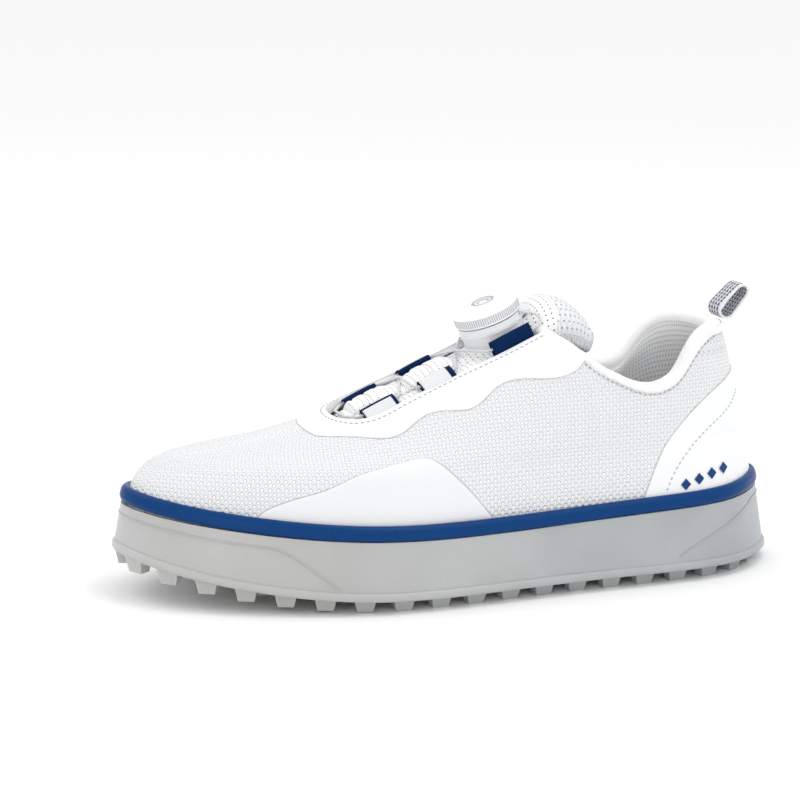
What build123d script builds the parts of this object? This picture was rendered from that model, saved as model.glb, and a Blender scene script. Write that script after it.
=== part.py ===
from build123d import *
import os
from math import atan2, cos, degrees, hypot, pi, radians, sin, sqrt, tan

# Left golf shoe with a rotary lace dial. Millimetres. +X to the toe, +Y to the outer (lateral)
# side, +Z up. The origin is on the ground under the middle of the sole's length. Stations in the
# lists below are distances x from the back of the heel; at(x) turns one into the frame's X.

# Driving dimensions of the sole
LENGTH = 301.4
LUG_HEIGHT = 5.5
TOE_SPRING = 14.2
SPRING_START = 190.0
WALL_TAPER = 0.17
STRIP_HEIGHT = 6.5
CUP_FLOOR = 4.5
UPPER_INSET = 8.0
WALL_GAP = 0.1
BOARD_THICK = 1.5
SOCKLINER_THICK = 4.0

# Outline of the sole's flange in plan, seen from above, from the heel round the outer side
FLANGE = [
    (0, 2), (10, 22), (30, 37), (60, 43.5), (95, 45.5), (130, 48.5), (165, 52), (198, 52.5),
    (228, 46.5), (256, 36.5), (280, 24), (297, 8), (304, -11), (297, -28), (280, -40.5),
    (252, -49), (215, -52), (180, -47.5), (140, -40), (100, -36), (60, -36), (28, -31), (9, -18),
]
WAIST_OUTER, WAIST_INNER = 5, 18

# Side view of the sole: (x, z) of the cup's top edge and of the foot bed
STRIP_EDGE = [(-8, 35.2), (30, 33.2), (75, 31.8), (112, 30.5), (150, 29.7), (188, 29.9), (225, 31.5),
              (262, 35.1), (312, 42.2)]
FOOT_BED = [(-8, 27), (60, 26.2), (115, 24.5), (165, 22.2), (200, 21.5), (240, 22.5), (275, 26),
            (312, 32)]

# The upper's outer form, one row for each height: (z, heel x, front x, how far the plan shape has
# changed from the sole's outline to the narrow bullet shape of the instep, its half width)
FORM_LEVELS = [
    (18.0, 8.0, 296.0, 0.00, 33), (36.0, 8.1, 295.9, 0.00, 33), (41.0, 8.6, 295.5, 0.01, 33),
    (46.0, 9.6, 294.5, 0.05, 33), (50.0, 10.2, 293.0, 0.10, 33), (54.0, 11.0, 290.5, 0.15, 33),
    (57.0, 11.7, 287.0, 0.21, 33), (59.5, 12.3, 281.0, 0.29, 33), (61.5, 12.8, 271.0, 0.36, 33),
    (64.0, 13.3, 252.0, 0.45, 33), (67.0, 14.0, 238.5, 0.53, 33), (71.0, 15.0, 223.5, 0.62, 33),
    (76.0, 16.3, 210.0, 0.71, 33), (82.0, 18.0, 196.0, 0.81, 33), (88.0, 19.7, 180.5, 0.89, 33),
    (95.0, 21.8, 163.0, 0.95, 33), (101.0, 23.9, 149.0, 0.98, 32.5), (107.0, 26.0, 136.0, 1.00, 32),
    (125.0, 31.0, 98.0, 1.00, 30),
]
FORM_FOOT = 36.0

# Layers of the upper, as depths below the outer form
OVERLAY = (-0.6, -0.05)
TEXTILE = (0.0, 1.4)
STIFFENER = (1.5, 2.8)
LOOP_TAIL = (1.55, 2.85)
LINING = (3.0, 3.7)
COLLAR_FOAM = (3.8, 8.0)
COLLAR_LINING = (8.1, 8.8)

# Side view of the collar's top edge
TOPLINE = [(-8, 107.5), (10, 108.6), (24, 109.5), (36, 109.8), (44, 107), (50, 101.5), (54.5, 95.5),
           (59, 90.5), (65, 87.6), (72.3, 86.8), (79.7, 88.4), (87, 91.6), (94.5, 95.4),
           (104, 102), (111.4, 107.2), (117.4, 110.2), (122, 111.4)]
COLLAR_FRONT = 122.0
BINDING_DEPTH = 1.6
FOAM_FRONT = 84.0
FOAM_BOTTOM = 58.0

# Throat of the upper in plan: half widths
THROAT = [(100, 20.6), (122, 20.4), (142, 19.2), (157, 18.3), (185, 18.4), (198, 16.8), (206, 11)]
THROAT_FRONT = 209.5

# Tongue: (x, height of the top, height of the underside) on the centre line
TONGUE_LINE = [(210, 72.0, 65.5), (202, 76.0, 69.5), (190, 81.4, 75.0), (176, 87.4, 80.5),
               (162, 93.2, 85.8), (150, 98.7, 91.0), (141, 103.3, 95.0), (130, 109.3, 98.5),
               (122, 115.2, 102.0), (113, 122.6, 105.5), (104, 122.2, 105.0), (97, 117.6, 101.5),
               (91, 110.0, 97.0)]
TONGUE_BEND = 33.0
TONGUE_HALF = 20.5
TONGUE_END = 91.0
TONGUE_FRONT = 202.5
TONGUE_EDGE = [(100, 15.0), (126, 15.0), (140, 15.8), (174, 15.8), (182, 14.2), (192, 13.8),
               (TONGUE_FRONT, 10.5)]
TONGUE_SEAM = 111.0
HINGE = (203.0, 70.0)
WING_RADIUS = 96.5

# Rotary dial, heights along its own axis above the tongue
DIAL_AT = (135.0, 111.5)
DIAL_TILT = 22.0
SEAT_R, SEAT_FOOT_R, SEAT_DEPTH, SEAT_TOP = 14.6, 14.0, 8.0, 1.4
HOUSING_R, HOUSING_FLANGE_TOP, HOUSING_WALL_R, HOUSING_TOP = 14.4, 3.7, 13.3, 7.4
HOUSING_BORE_R, RATCHET_TIP_R, RATCHET_TEETH = 12.6, 12.1, 30
SPOOL_R, SPOOL_HUB_R, SPOOL_BOTTOM, SPOOL_TOP = 11.6, 7.0, 2.7, 5.4
KNOB_R, KNOB_BOTTOM, KNOB_SHOULDER, KNOB_TOP, KNOB_BORE_R = 14.9, 4.0, 8.8, 11.1, 13.7
KNOB_ROOF, KNOB_RIBS = 8.4, 90
PAWL_R, PAWL_BOTTOM, PAWL_TOP = 11.7, 5.7, 6.9
SCREW_R, SCREW_HEAD_R, SCREW_HEAD_AT, SCREW_HEAD_TOP = 1.5, 3.0, 9.2, 10.2
BUSH_R, BUSH_TOP = 3.2, 7.3
BADGE_R, BADGE_THICK = 4.6, 0.8
LACE_R = 0.6
LACE_EXIT_TURN = radians(140)
LACE_EXIT_H = 2.6

# The lace on the outer side, as (x, y, z): the bend between its port and the top loop, the two
# crossings over the tongue's middle (one strand is higher by LACE_LIFT there, the other lower), and
# the crossing at the front.
LACE_START = [(120.3, 14.2, 118.4), (117.6, 17.0, 115.2)]
LACE_CROSSINGS = [(151.8, 0.0, 100.2), (177.3, 0.0, 89.9)]
LACE_FRONT = (204.6, 6.0, 75.8)
LACE_LIFT = 0.8
LACE_BEND = 5.0

# Lace loops of webbing on the throat's edges: (name, x, y, z, length, reach, thickness, and how
# steeply it leans up as it reaches inwards)
LOOPS = [("top", 131.0, 17.65, 104.6, 19.5, 6.5, 2.8, 20.0),
         ("middle", 165.0, 17.8, 90.4, 16.0, 6.5, 3.2, 0.5),
         ("lower", 190.5, 16.2, 79.4, 16.0, 6.0, 3.2, 0.5)]
LOOP_SLOPE = 24.5
LOOP_WALL, LOOP_TUCK, LOOP_GAP = 0.5, 4.0, 0.3

# Plain square marks on the outer side of the heel
MARKS = [(55, 42.5), (48, 44.3), (41, 46.0), (34, 47.4)]
MARK_SIZE = 3.6
MARK_LAYER = (-1.0, -0.65)

# Heel pull tab
TAB_WIDTH, TAB_WALL, TAB_LENGTH, TAB_DEPTH = 12.0, 1.1, 19.0, 9.0
TAB_HINGE = (25.0, 111.6)
TAB_LEAN = 132.0


def at(x):
    """The frame's X of a station measured from the back of the heel."""
    return x - LENGTH / 2


def inset(points, distance):
    """A closed outline moved inwards, each point along its local normal."""
    moved = []
    for i, (x, y) in enumerate(points):
        ax, ay = points[i - 1]
        bx, by = points[(i + 1) % len(points)]
        size = hypot(bx - ax, by - ay)
        moved.append((x + distance * (by - ay) / size, y - distance * (bx - ax) / size))
    return moved


def form_contour(heel, front, change, half_width, depth):
    """The upper's plan shape at one height, moved inwards by depth."""
    base = inset(FLANGE, UPPER_INSET)
    first = min(x for x, y in base)
    last = max(x for x, y in base)
    contour = []
    for x, y in base:
        share = (x - first) / (last - first)
        bullet = half_width * sqrt(max(0, 1 - abs(2 * share - 1) ** 3))
        side = 1 if y > 0 else -1
        contour.append((heel + share * (front - heel), (1 - change) * y + change * side * bullet))
    return inset(contour, depth)


def outline_face(points, z):
    """A smooth closed face through plan points at height z: a toe half and a heel half."""
    placed = [(at(x), y) for x, y in points]
    with BuildSketch(Plane.XY.offset(z)) as face:
        with BuildLine():
            Spline(*placed[WAIST_OUTER:WAIST_INNER + 1])
            Spline(*placed[WAIST_INNER:], *placed[:WAIST_OUTER + 1])
        make_face()
    return face.sketch


def upper_form(depth):
    """The closed outer form of the upper, shrunk by depth."""
    sections = []
    for z, heel, front, change, half_width in FORM_LEVELS:
        low = depth if FORM_FOOT < z < FORM_LEVELS[-1][0] else 0
        sections.append(outline_face(form_contour(heel, front, change, half_width, depth), z - low))
    with BuildPart() as form:
        loft(sections, ruled=True)
    return form.part


def side_block(curve, beyond):
    """Everything on one side, beyond height z, of a smooth side view curve."""
    points = [(at(x), z) for x, z in curve]
    with BuildPart() as block:
        with BuildSketch(Plane.XZ):
            with BuildLine():
                Spline(*points)
                Polyline(points[-1], (points[-1][0], beyond), (points[0][0], beyond), points[0])
            make_face()
        extrude(amount=80, both=True)
    return block.part


def shifted(curve, dz):
    """A side view curve moved up by dz."""
    return [(x, z + dz) for x, z in curve]


def box_between(x0, x1, y0, y1, z0, z1):
    """A plain block between stations x0 and x1."""
    with BuildPart() as block:
        with BuildSketch(Plane.XY.offset(z0)):
            with Locations(((at(x0) + at(x1)) / 2, (y0 + y1) / 2)):
                Rectangle(x1 - x0, y1 - y0)
        extrude(amount=z1 - z0)
    return block.part


def sole_bottom(x):
    """Height of the flange's underside, which rises towards the toe."""
    lift = max(0.0, x - SPRING_START) / (LENGTH / 2 - 40.7)
    return LUG_HEIGHT + TOE_SPRING * lift ** 2


BOTTOM_CURVE = [(x, sole_bottom(x)) for x in (-8, 60, 125, 190, 220, 250, 280, 312)]


def straight_body(depth, z0=0.0, z1=60.0):
    """The sole's outline moved in by depth, with straight walls."""
    with BuildPart() as body:
        add(outline_face(inset(FLANGE, depth), z0))
        extrude(amount=z1 - z0)
    return body.part


def tapered_body():
    """The sole's outer walls, which lean inwards towards the top."""
    low = inset(FLANGE, -WALL_TAPER * LUG_HEIGHT)
    high = inset(FLANGE, WALL_TAPER * (60 - LUG_HEIGHT))
    with BuildPart() as body:
        loft([outline_face(low, 0), outline_face(high, 60)], ruled=True)
    return body.part


def save(piece, name):
    """Label one finished piece and write its STEP file."""
    piece.label = name
    export_step(piece, f"parts/{name}.step")


os.makedirs("parts", exist_ok=True)

# ---------------------------------------------------------------- sole

walls = tapered_body()
cavity = straight_body(UPPER_INSET - WALL_GAP)
under_edge = side_block(STRIP_EDGE, -20)
over_edge = side_block(STRIP_EDGE, 120)
under_bottom = side_block(BOTTOM_CURVE, -20)
over_floor = side_block(shifted(BOTTOM_CURVE, CUP_FLOOR), 120)
under_bed = side_block(FOOT_BED, -20)
over_bed = side_block(FOOT_BED, 120)


def lug_places():
    """Plan places and headings of the lugs: a row round the edge, and rows across the tread."""
    ring = outline_face(inset(FLANGE, 7.5), 0).face().outer_wire()
    count = round(ring.length / 16.6)
    places = []
    for i in range(count):
        spot = ring.position_at(i / count)
        heading = ring.tangent_at(i / count)
        places.append((spot.X, spot.Y, degrees(atan2(heading.Y, heading.X))))
    for x in (26, 46, 66, 86, 106, 126, 146, 166, 186, 206, 226, 246, 266):
        wide = 180 < x < 250
        for y in ((-22, 0, 22) if wide else (-8, 10)):
            places.append((at(x), y - (4 if x > 180 else 0), 20 if x % 40 > 10 else -20))
    return places


def lug(x, y, heading):
    """One tapered lug, from its tip up into the cup's floor."""
    tip = sole_bottom(x + LENGTH / 2) - LUG_HEIGHT
    root = tip + LUG_HEIGHT + 1.5
    with BuildPart() as block:
        turned = (cos(radians(heading)), sin(radians(heading)), 0)
        with BuildSketch(Plane(origin=(x, y, tip), x_dir=turned)):
            Rectangle(6.8, 5.0)
        with BuildSketch(Plane(origin=(x, y, root), x_dir=turned)):
            Rectangle(10.0, 7.6)
        loft()
    return block.part


with BuildPart() as outsole_cup:
    add(walls)
    add(under_edge, mode=Mode.INTERSECT)
    add(under_bottom, mode=Mode.SUBTRACT)
    add(cavity & over_floor, mode=Mode.SUBTRACT)
    add([lug(*place) for place in lug_places()])
save(outsole_cup.part, "outsole_cup")

with BuildPart() as blue_strip:
    add(walls)
    add(over_edge, mode=Mode.INTERSECT)
    add(side_block(shifted(STRIP_EDGE, STRIP_HEIGHT), -20), mode=Mode.INTERSECT)
    add(cavity, mode=Mode.SUBTRACT)
save(blue_strip.part, "blue_strip")

SHANK = (75, 165, -9, 9)
shank_low = shifted(BOTTOM_CURVE, CUP_FLOOR + 5.0)
with BuildPart() as shank_plate:
    add(box_between(*SHANK, 10, 30))
    add(side_block(shank_low, 120), mode=Mode.INTERSECT)
    add(side_block(shifted(shank_low, 1.6), -20), mode=Mode.INTERSECT)
save(shank_plate.part, "shank_plate")

with BuildPart() as midsole_foam:
    add(straight_body(UPPER_INSET))
    add(side_block(shifted(BOTTOM_CURVE, CUP_FLOOR + 0.05), 120), mode=Mode.INTERSECT)
    add(side_block(shifted(FOOT_BED, -0.05), -20), mode=Mode.INTERSECT)
    add(shank_plate.part, mode=Mode.SUBTRACT)
save(midsole_foam.part, "midsole_foam")

BOARD_INSET = UPPER_INSET + LINING[1] + 0.3
with BuildPart() as insole_board:
    add(straight_body(BOARD_INSET))
    add(over_bed, mode=Mode.INTERSECT)
    add(side_block(shifted(FOOT_BED, BOARD_THICK), -20), mode=Mode.INTERSECT)
save(insole_board.part, "insole_board")

with BuildPart() as sockliner:
    add(straight_body(BOARD_INSET + 0.4))
    add(side_block(shifted(FOOT_BED, BOARD_THICK + 0.05), 120), mode=Mode.INTERSECT)
    add(side_block(shifted(FOOT_BED, BOARD_THICK + SOCKLINER_THICK), -20), mode=Mode.INTERSECT)
save(sockliner.part, "sockliner")

# ---------------------------------------------------------------- upper

over_topline = side_block(TOPLINE, 150)
over_binding = side_block(shifted(TOPLINE, -BINDING_DEPTH), 150)

with BuildPart() as throat:
    with BuildSketch(Plane.XY.offset(62)):
        with BuildLine():
            outer = [(at(x), y) for x, y in THROAT]
            inner = [(at(x), -y) for x, y in reversed(THROAT)]
            Spline(*outer, (at(THROAT_FRONT), 0), *inner)
            Line(inner[-1], outer[0])
        make_face()
    extrude(amount=90)


def upper_layer(outer, inner, openings):
    """A layer of the upper between two depths, above the foot bed and outside the openings."""
    with BuildPart() as layer:
        add(upper_form(outer))
        add(upper_form(inner), mode=Mode.SUBTRACT)
        add(under_bed, mode=Mode.SUBTRACT)
        for opening in openings:
            add(opening, mode=Mode.SUBTRACT)
    return layer.part


def loop_plane(x, y, z, side, rise):
    """The cross-section plane of one lace loop: X points in over the tongue, Z to the toe."""
    along = Vector(cos(radians(LOOP_SLOPE)), 0, -sin(radians(LOOP_SLOPE)))
    inwards = Vector(0, -side, rise)
    inwards = inwards - along * inwards.dot(along)
    return Plane(origin=(at(x), side * y, z), x_dir=inwards, z_dir=along)


def lace_loop(x, y, z, length, reach, thick, rise, side):
    """A folded webbing loop: a flat tube over the tongue and a tail sewn in under the eyestay."""
    with BuildPart() as loop:
        with BuildSketch(loop_plane(x, y, z, side, rise)):
            with Locations((LOOP_GAP + reach / 2, 0)):
                SlotOverall(reach, thick)
                SlotOverall(reach - 2 * LOOP_WALL, thick - 2 * LOOP_WALL, mode=Mode.SUBTRACT)
            if rise > 1:
                with Locations((LOOP_GAP - 0.6, 0)):
                    Rectangle(3.0, 0.9)
            else:
                with Locations((LOOP_GAP + 0.38, side * (thick / 2 - 0.45))):
                    Rectangle(0.65, 1.1)
        extrude(amount=length / 2, both=True)
        near, far = side * (y - LOOP_GAP - 1.0), side * (y + LOOP_TUCK)
        x0, x1 = x - length / 2, x + length / 2
        add(tail_layer & box_between(x0, x1, min(near, far), max(near, far), 62, 130))
    return loop.part


with BuildPart() as upper_textile:
    add(upper_layer(*TEXTILE, [over_binding, throat.part]))
save(upper_textile.part, "upper_textile")

under_strip_top = side_block(shifted(STRIP_EDGE, STRIP_HEIGHT + 0.15), -20)
overlay_shell = upper_layer(*OVERLAY, [over_binding, throat.part, under_strip_top])

WAVE = [(236, 67), (227, 69), (216, 69.8), (204, 70.3), (193, 70.2), (185, 72.5), (179, 76.5),
        (173, 79.6), (165, 80.8), (156, 81.6), (148, 86.4), (142, 90.8), (134, 93), (120, 93),
        (112, 94.4), (107, 97), (103, 101.5), (100, 106)]
with BuildPart() as eyestay_overlay:
    add(overlay_shell)
    add(side_block(WAVE, 150), mode=Mode.INTERSECT)
save(eyestay_overlay.part, "eyestay_overlay")

HEEL_PATCH = [(-8, 96), (10, 93), (27, 87.6), (42, 80.8), (58, 68.4), (67.6, 57), (72.5, 46.8), (77, 34),
              (79, 18)]
with BuildPart() as heel_overlay:
    add(overlay_shell)
    with BuildSketch(Plane.XZ):
        with BuildLine():
            patch = [(at(x), z) for x, z in HEEL_PATCH]
            Spline(*patch)
            Polyline(patch[-1], (patch[0][0], patch[-1][1]), patch[0])
        make_face()
    extrude(amount=80, both=True, mode=Mode.INTERSECT)
save(heel_overlay.part, "heel_overlay")

FILM = [(252, 18), (248, 43), (243, 45.7), (232, 49.6), (223, 52.3), (210, 57.6), (200, 60), (187, 62.6),
        (176, 62.6), (169, 57.9), (159, 47.9), (153, 40.9), (148, 34), (143, 18)]
with BuildPart() as films:
    add(overlay_shell)
    with BuildSketch(Plane.XZ):
        with BuildLine():
            film = [(at(x), z) for x, z in FILM]
            Spline(*film)
            Line(film[-1], film[0])
        make_face()
    extrude(amount=80, both=True, mode=Mode.INTERSECT)
for side, name in ((1, "lateral"), (-1, "medial")):
    with BuildPart() as film_side:
        add(films.part)
        add(box_between(100, 300, min(0, side * 80), max(0, side * 80), 0, 150), mode=Mode.INTERSECT)
    save(film_side.part, f"sidewall_film_{name}")

stiffener_shell = upper_layer(*STIFFENER, [over_binding, throat.part])
with BuildPart() as heel_counter:
    add(stiffener_shell)
    add(box_between(-10, 76, -80, 80, 18, 74), mode=Mode.INTERSECT)
save(heel_counter.part, "heel_counter")
with BuildPart() as toe_puff:
    add(stiffener_shell)
    add(box_between(262, 320, -80, 80, 18, 74), mode=Mode.INTERSECT)
save(toe_puff.part, "toe_puff")

lining_shell = upper_layer(*LINING, [over_binding, throat.part])
with BuildPart() as vamp_lining:
    add(lining_shell)
    add(box_between(COLLAR_FRONT, 320, -80, 80, 0, 150), mode=Mode.INTERSECT)
save(vamp_lining.part, "vamp_lining")
with BuildPart() as quarter_lining:
    add(lining_shell)
    add(box_between(-10, COLLAR_FRONT - 0.1, -80, 80, 0, 150), mode=Mode.INTERSECT)
save(quarter_lining.part, "quarter_lining")

collar_zone = box_between(-10, FOAM_FRONT, -80, 80, FOAM_BOTTOM, 150)
with BuildPart() as collar_foam:
    add(upper_layer(*COLLAR_FOAM, [over_binding]))
    add(collar_zone, mode=Mode.INTERSECT)
save(collar_foam.part, "collar_foam")
with BuildPart() as collar_lining:
    add(upper_layer(*COLLAR_LINING, [over_binding]))
    add(collar_zone, mode=Mode.INTERSECT)
save(collar_lining.part, "collar_lining")

with BuildPart() as collar_binding:
    add(upper_layer(0, COLLAR_LINING[1], [over_topline]))
    add(box_between(-10, FOAM_FRONT, -80, 80, 60, 150), mode=Mode.INTERSECT)
    front_edge = upper_layer(0, LINING[1], [over_topline])
    add(front_edge & box_between(FOAM_FRONT - 0.1, COLLAR_FRONT, -80, 80, 60, 150))
    add(side_block(shifted(TOPLINE, -BINDING_DEPTH + 0.05), 150), mode=Mode.INTERSECT)
    add(throat.part, mode=Mode.SUBTRACT)
save(collar_binding.part, "collar_binding")

with BuildPart() as throat_mesh:
    add(upper_layer(LINING[1] + 0.1, LINING[1] + 0.7, []))
    add(box_between(TONGUE_FRONT + 1.5, THROAT_FRONT + 8, -15, 15, 62, 100), mode=Mode.INTERSECT)
save(throat_mesh.part, "throat_mesh")

tail_layer = upper_form(LOOP_TAIL[0]) - upper_form(LOOP_TAIL[1])
for name, *sizes in LOOPS:
    for side, side_name in ((1, "lateral"), (-1, "medial")):
        save(lace_loop(*sizes, side), f"lace_loop_{side_name}_{name}")

with BuildPart() as side_marks:
    add(upper_form(MARK_LAYER[0]))
    add(upper_form(MARK_LAYER[1]), mode=Mode.SUBTRACT)
    with BuildSketch(Plane.XZ.offset(-60)):
        for x, z in MARKS:
            with Locations((at(x), z)):
                Rectangle(MARK_SIZE, MARK_SIZE, rotation=45)
    extrude(amount=60, mode=Mode.INTERSECT)
save(side_marks.part, "side_marks")

# ---------------------------------------------------------------- tongue


def tongue_crown(share):
    """The tongue's arched form, from its face (share 0) to its underside (share 1)."""
    sections = []
    for x, top, underside in TONGUE_LINE:
        z = top + share * (underside - top)
        drop = TONGUE_BEND - sqrt(TONGUE_BEND ** 2 - 26 ** 2)
        with BuildSketch(Plane(origin=(at(x), 0, z), x_dir=(0, 1, 0), z_dir=(1, 0, 0))) as section:
            with BuildLine():
                ThreePointArc((-26, -drop), (0, 0), (26, -drop))
                Polyline((26, -drop), (26, -60), (-26, -60), (-26, -drop))
            make_face()
        sections.append(section.sketch)
    with BuildPart() as crown:
        loft(sections, ruled=True)
    return crown.part


# The tongue is narrow between the throat's edges; its padded top is wide, and starts beyond a
# cylinder about the hinge, so that it clears the eyestay's corners as it swings up.
with BuildPart() as tongue_plan:
    with BuildSketch(Plane.XY.offset(50)):
        with BuildLine():
            side_edge = [(at(x), y) for x, y in TONGUE_EDGE]
            other_edge = [(x, -y) for x, y in reversed(side_edge)]
            Polyline(*side_edge, *other_edge, side_edge[0])
        make_face()
    extrude(amount=100)
with BuildPart() as tongue_wings:
    add(box_between(TONGUE_END, 130, -TONGUE_HALF, TONGUE_HALF, 60, 140))
    with BuildSketch(Plane.XZ):
        with Locations((at(HINGE[0]), HINGE[1])):
            Circle(WING_RADIUS)
    extrude(amount=80, both=True, mode=Mode.SUBTRACT)
    add(tongue_plan.part)


def tongue_layer(upper, lower):
    """A layer of the tongue between two shares of its thickness."""
    with BuildPart() as layer:
        add(tongue_crown(upper))
        add(tongue_crown(lower), mode=Mode.SUBTRACT)
        add(tongue_wings.part, mode=Mode.INTERSECT)
    return layer.part


face_layer = tongue_layer(0, 0.13)
seam_front = box_between(TONGUE_SEAM, 320, -80, 80, 0, 150)
seam_back = box_between(0, TONGUE_SEAM - 0.1, -80, 80, 0, 150)
save(face_layer & seam_front, "tongue_face")
save(face_layer & seam_back, "tongue_mesh_top")
save(tongue_layer(0.14, 0.88), "tongue_foam")
save(tongue_layer(0.89, 1), "tongue_lining")

with BuildPart() as tongue_strip:
    add(tongue_crown(-0.15))
    add(tongue_crown(-0.01), mode=Mode.SUBTRACT)
    with BuildSketch(Plane.XY.offset(50)):
        with Locations((at(177.5), 0)):
            RectangleRounded(41, 13, 5)
    extrude(amount=100, mode=Mode.INTERSECT)
save(tongue_strip.part, "tongue_strip")

# ---------------------------------------------------------------- dial

lean = radians(DIAL_TILT)
dial_plane = Plane(origin=(at(DIAL_AT[0]), 0, DIAL_AT[1]), x_dir=(cos(lean), 0, -sin(lean)),
                   z_dir=(sin(lean), 0, cos(lean)))

with BuildPart() as dial_seat:
    with BuildSketch(dial_plane.offset(-SEAT_DEPTH)):
        Circle(SEAT_FOOT_R)
    extrude(amount=SEAT_DEPTH)
    with BuildSketch(dial_plane):
        Circle(SEAT_R)
        with Locations((-SEAT_R + 1, 0)):
            Rectangle(7, 13)
    extrude(amount=SEAT_TOP)
    add(tongue_crown(-0.02), mode=Mode.SUBTRACT)
    with BuildSketch(dial_plane.offset(-SEAT_DEPTH)):
        Circle(SCREW_R + 0.05)
    extrude(amount=20, mode=Mode.SUBTRACT)
save(dial_seat.part, "dial_seat")

with BuildPart() as dial_housing:
    with BuildSketch(dial_plane.offset(SEAT_TOP)):
        Circle(HOUSING_R)
    extrude(amount=HOUSING_FLANGE_TOP - SEAT_TOP)
    with BuildSketch(dial_plane.offset(HOUSING_FLANGE_TOP)):
        Circle(HOUSING_WALL_R)
    extrude(amount=HOUSING_TOP - HOUSING_FLANGE_TOP)
    with BuildSketch(dial_plane.offset(SPOOL_BOTTOM - 0.2)):
        Circle(RATCHET_TIP_R)
    extrude(amount=20, mode=Mode.SUBTRACT)
    with BuildSketch(dial_plane.offset(PAWL_BOTTOM - 0.2)):
        with PolarLocations(0, RATCHET_TEETH):
            Polygon((RATCHET_TIP_R - 0.3, -0.2), (HOUSING_BORE_R, 0.9), (HOUSING_BORE_R, -0.2), align=None)
    extrude(amount=20, mode=Mode.SUBTRACT)
    with BuildSketch(dial_plane.offset(SEAT_TOP)):
        Circle(SCREW_R + 0.05)
    extrude(amount=20, mode=Mode.SUBTRACT)
    for side in (1, -1):
        with BuildSketch(Plane(origin=dial_plane.from_local_coords((0, 0, LACE_EXIT_H)),
                               x_dir=dial_plane.z_dir,
                               z_dir=dial_plane.x_dir * cos(LACE_EXIT_TURN)
                               + dial_plane.y_dir * side * sin(LACE_EXIT_TURN))):
            Circle(LACE_R + 0.25)
        extrude(amount=20, mode=Mode.SUBTRACT)
save(dial_housing.part, "dial_housing")

with BuildPart() as dial_screw:
    with BuildSketch(dial_plane.offset(-1.0)):
        Circle(SCREW_R)
    extrude(amount=SCREW_HEAD_AT + 1.0)
    with BuildSketch(dial_plane.offset(SCREW_HEAD_AT)):
        Circle(SCREW_HEAD_R)
    extrude(amount=SCREW_HEAD_TOP - SCREW_HEAD_AT)
    with BuildSketch(dial_plane.offset(SCREW_HEAD_TOP)):
        RegularPolygon(1.5, 6)
    extrude(amount=-0.8, mode=Mode.SUBTRACT)
save(dial_screw.part, "dial_screw")

with BuildPart() as lace_spool:
    with BuildSketch(dial_plane.offset(SPOOL_BOTTOM)):
        Circle(SPOOL_R)
    extrude(amount=SPOOL_TOP - SPOOL_BOTTOM)
    with BuildSketch(dial_plane.offset(SPOOL_BOTTOM + 0.6)):
        Circle(SPOOL_R + 1)
        Circle(SPOOL_HUB_R, mode=Mode.SUBTRACT)
    extrude(amount=1.5, mode=Mode.SUBTRACT)
    with BuildSketch(dial_plane.offset(SPOOL_BOTTOM)):
        Circle(SCREW_R + 0.06)
    extrude(amount=20, mode=Mode.SUBTRACT)
    with BuildSketch(dial_plane.offset(SPOOL_TOP)):
        with PolarLocations(9.2, 6):
            Circle(0.95)
    extrude(amount=-0.45, mode=Mode.SUBTRACT)
save(lace_spool.part, "lace_spool")

with BuildPart() as lace_winding:
    with BuildSketch(dial_plane.offset(SPOOL_BOTTOM + 0.65)):
        Circle(SPOOL_HUB_R + 3.2)
        Circle(SPOOL_HUB_R + 0.05, mode=Mode.SUBTRACT)
    extrude(amount=1.4)
save(lace_winding.part, "lace_winding")

with BuildPart() as pawl_disc:
    with BuildSketch(dial_plane.offset(PAWL_BOTTOM)):
        Circle(PAWL_R - 1.6)
        with PolarLocations(0, 3):
            with Locations((PAWL_R - 3.2, 0)):
                Rectangle(6.2, 3.2, rotation=25)
        Circle(PAWL_R, mode=Mode.INTERSECT)
        Circle(BUSH_R + 0.06, mode=Mode.SUBTRACT)
    extrude(amount=PAWL_TOP - PAWL_BOTTOM)
    with BuildSketch(dial_plane.offset(PAWL_BOTTOM)):
        with PolarLocations(9.2, 6):
            Circle(0.75)
    extrude(amount=-0.6)
save(pawl_disc.part, "pawl_disc")

with BuildPart() as knob_bushing:
    with BuildSketch(dial_plane.offset(PAWL_BOTTOM)):
        Circle(BUSH_R)
        Circle(SCREW_R + 0.06, mode=Mode.SUBTRACT)
    extrude(amount=BUSH_TOP - PAWL_BOTTOM)
save(knob_bushing.part, "knob_bushing")

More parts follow.
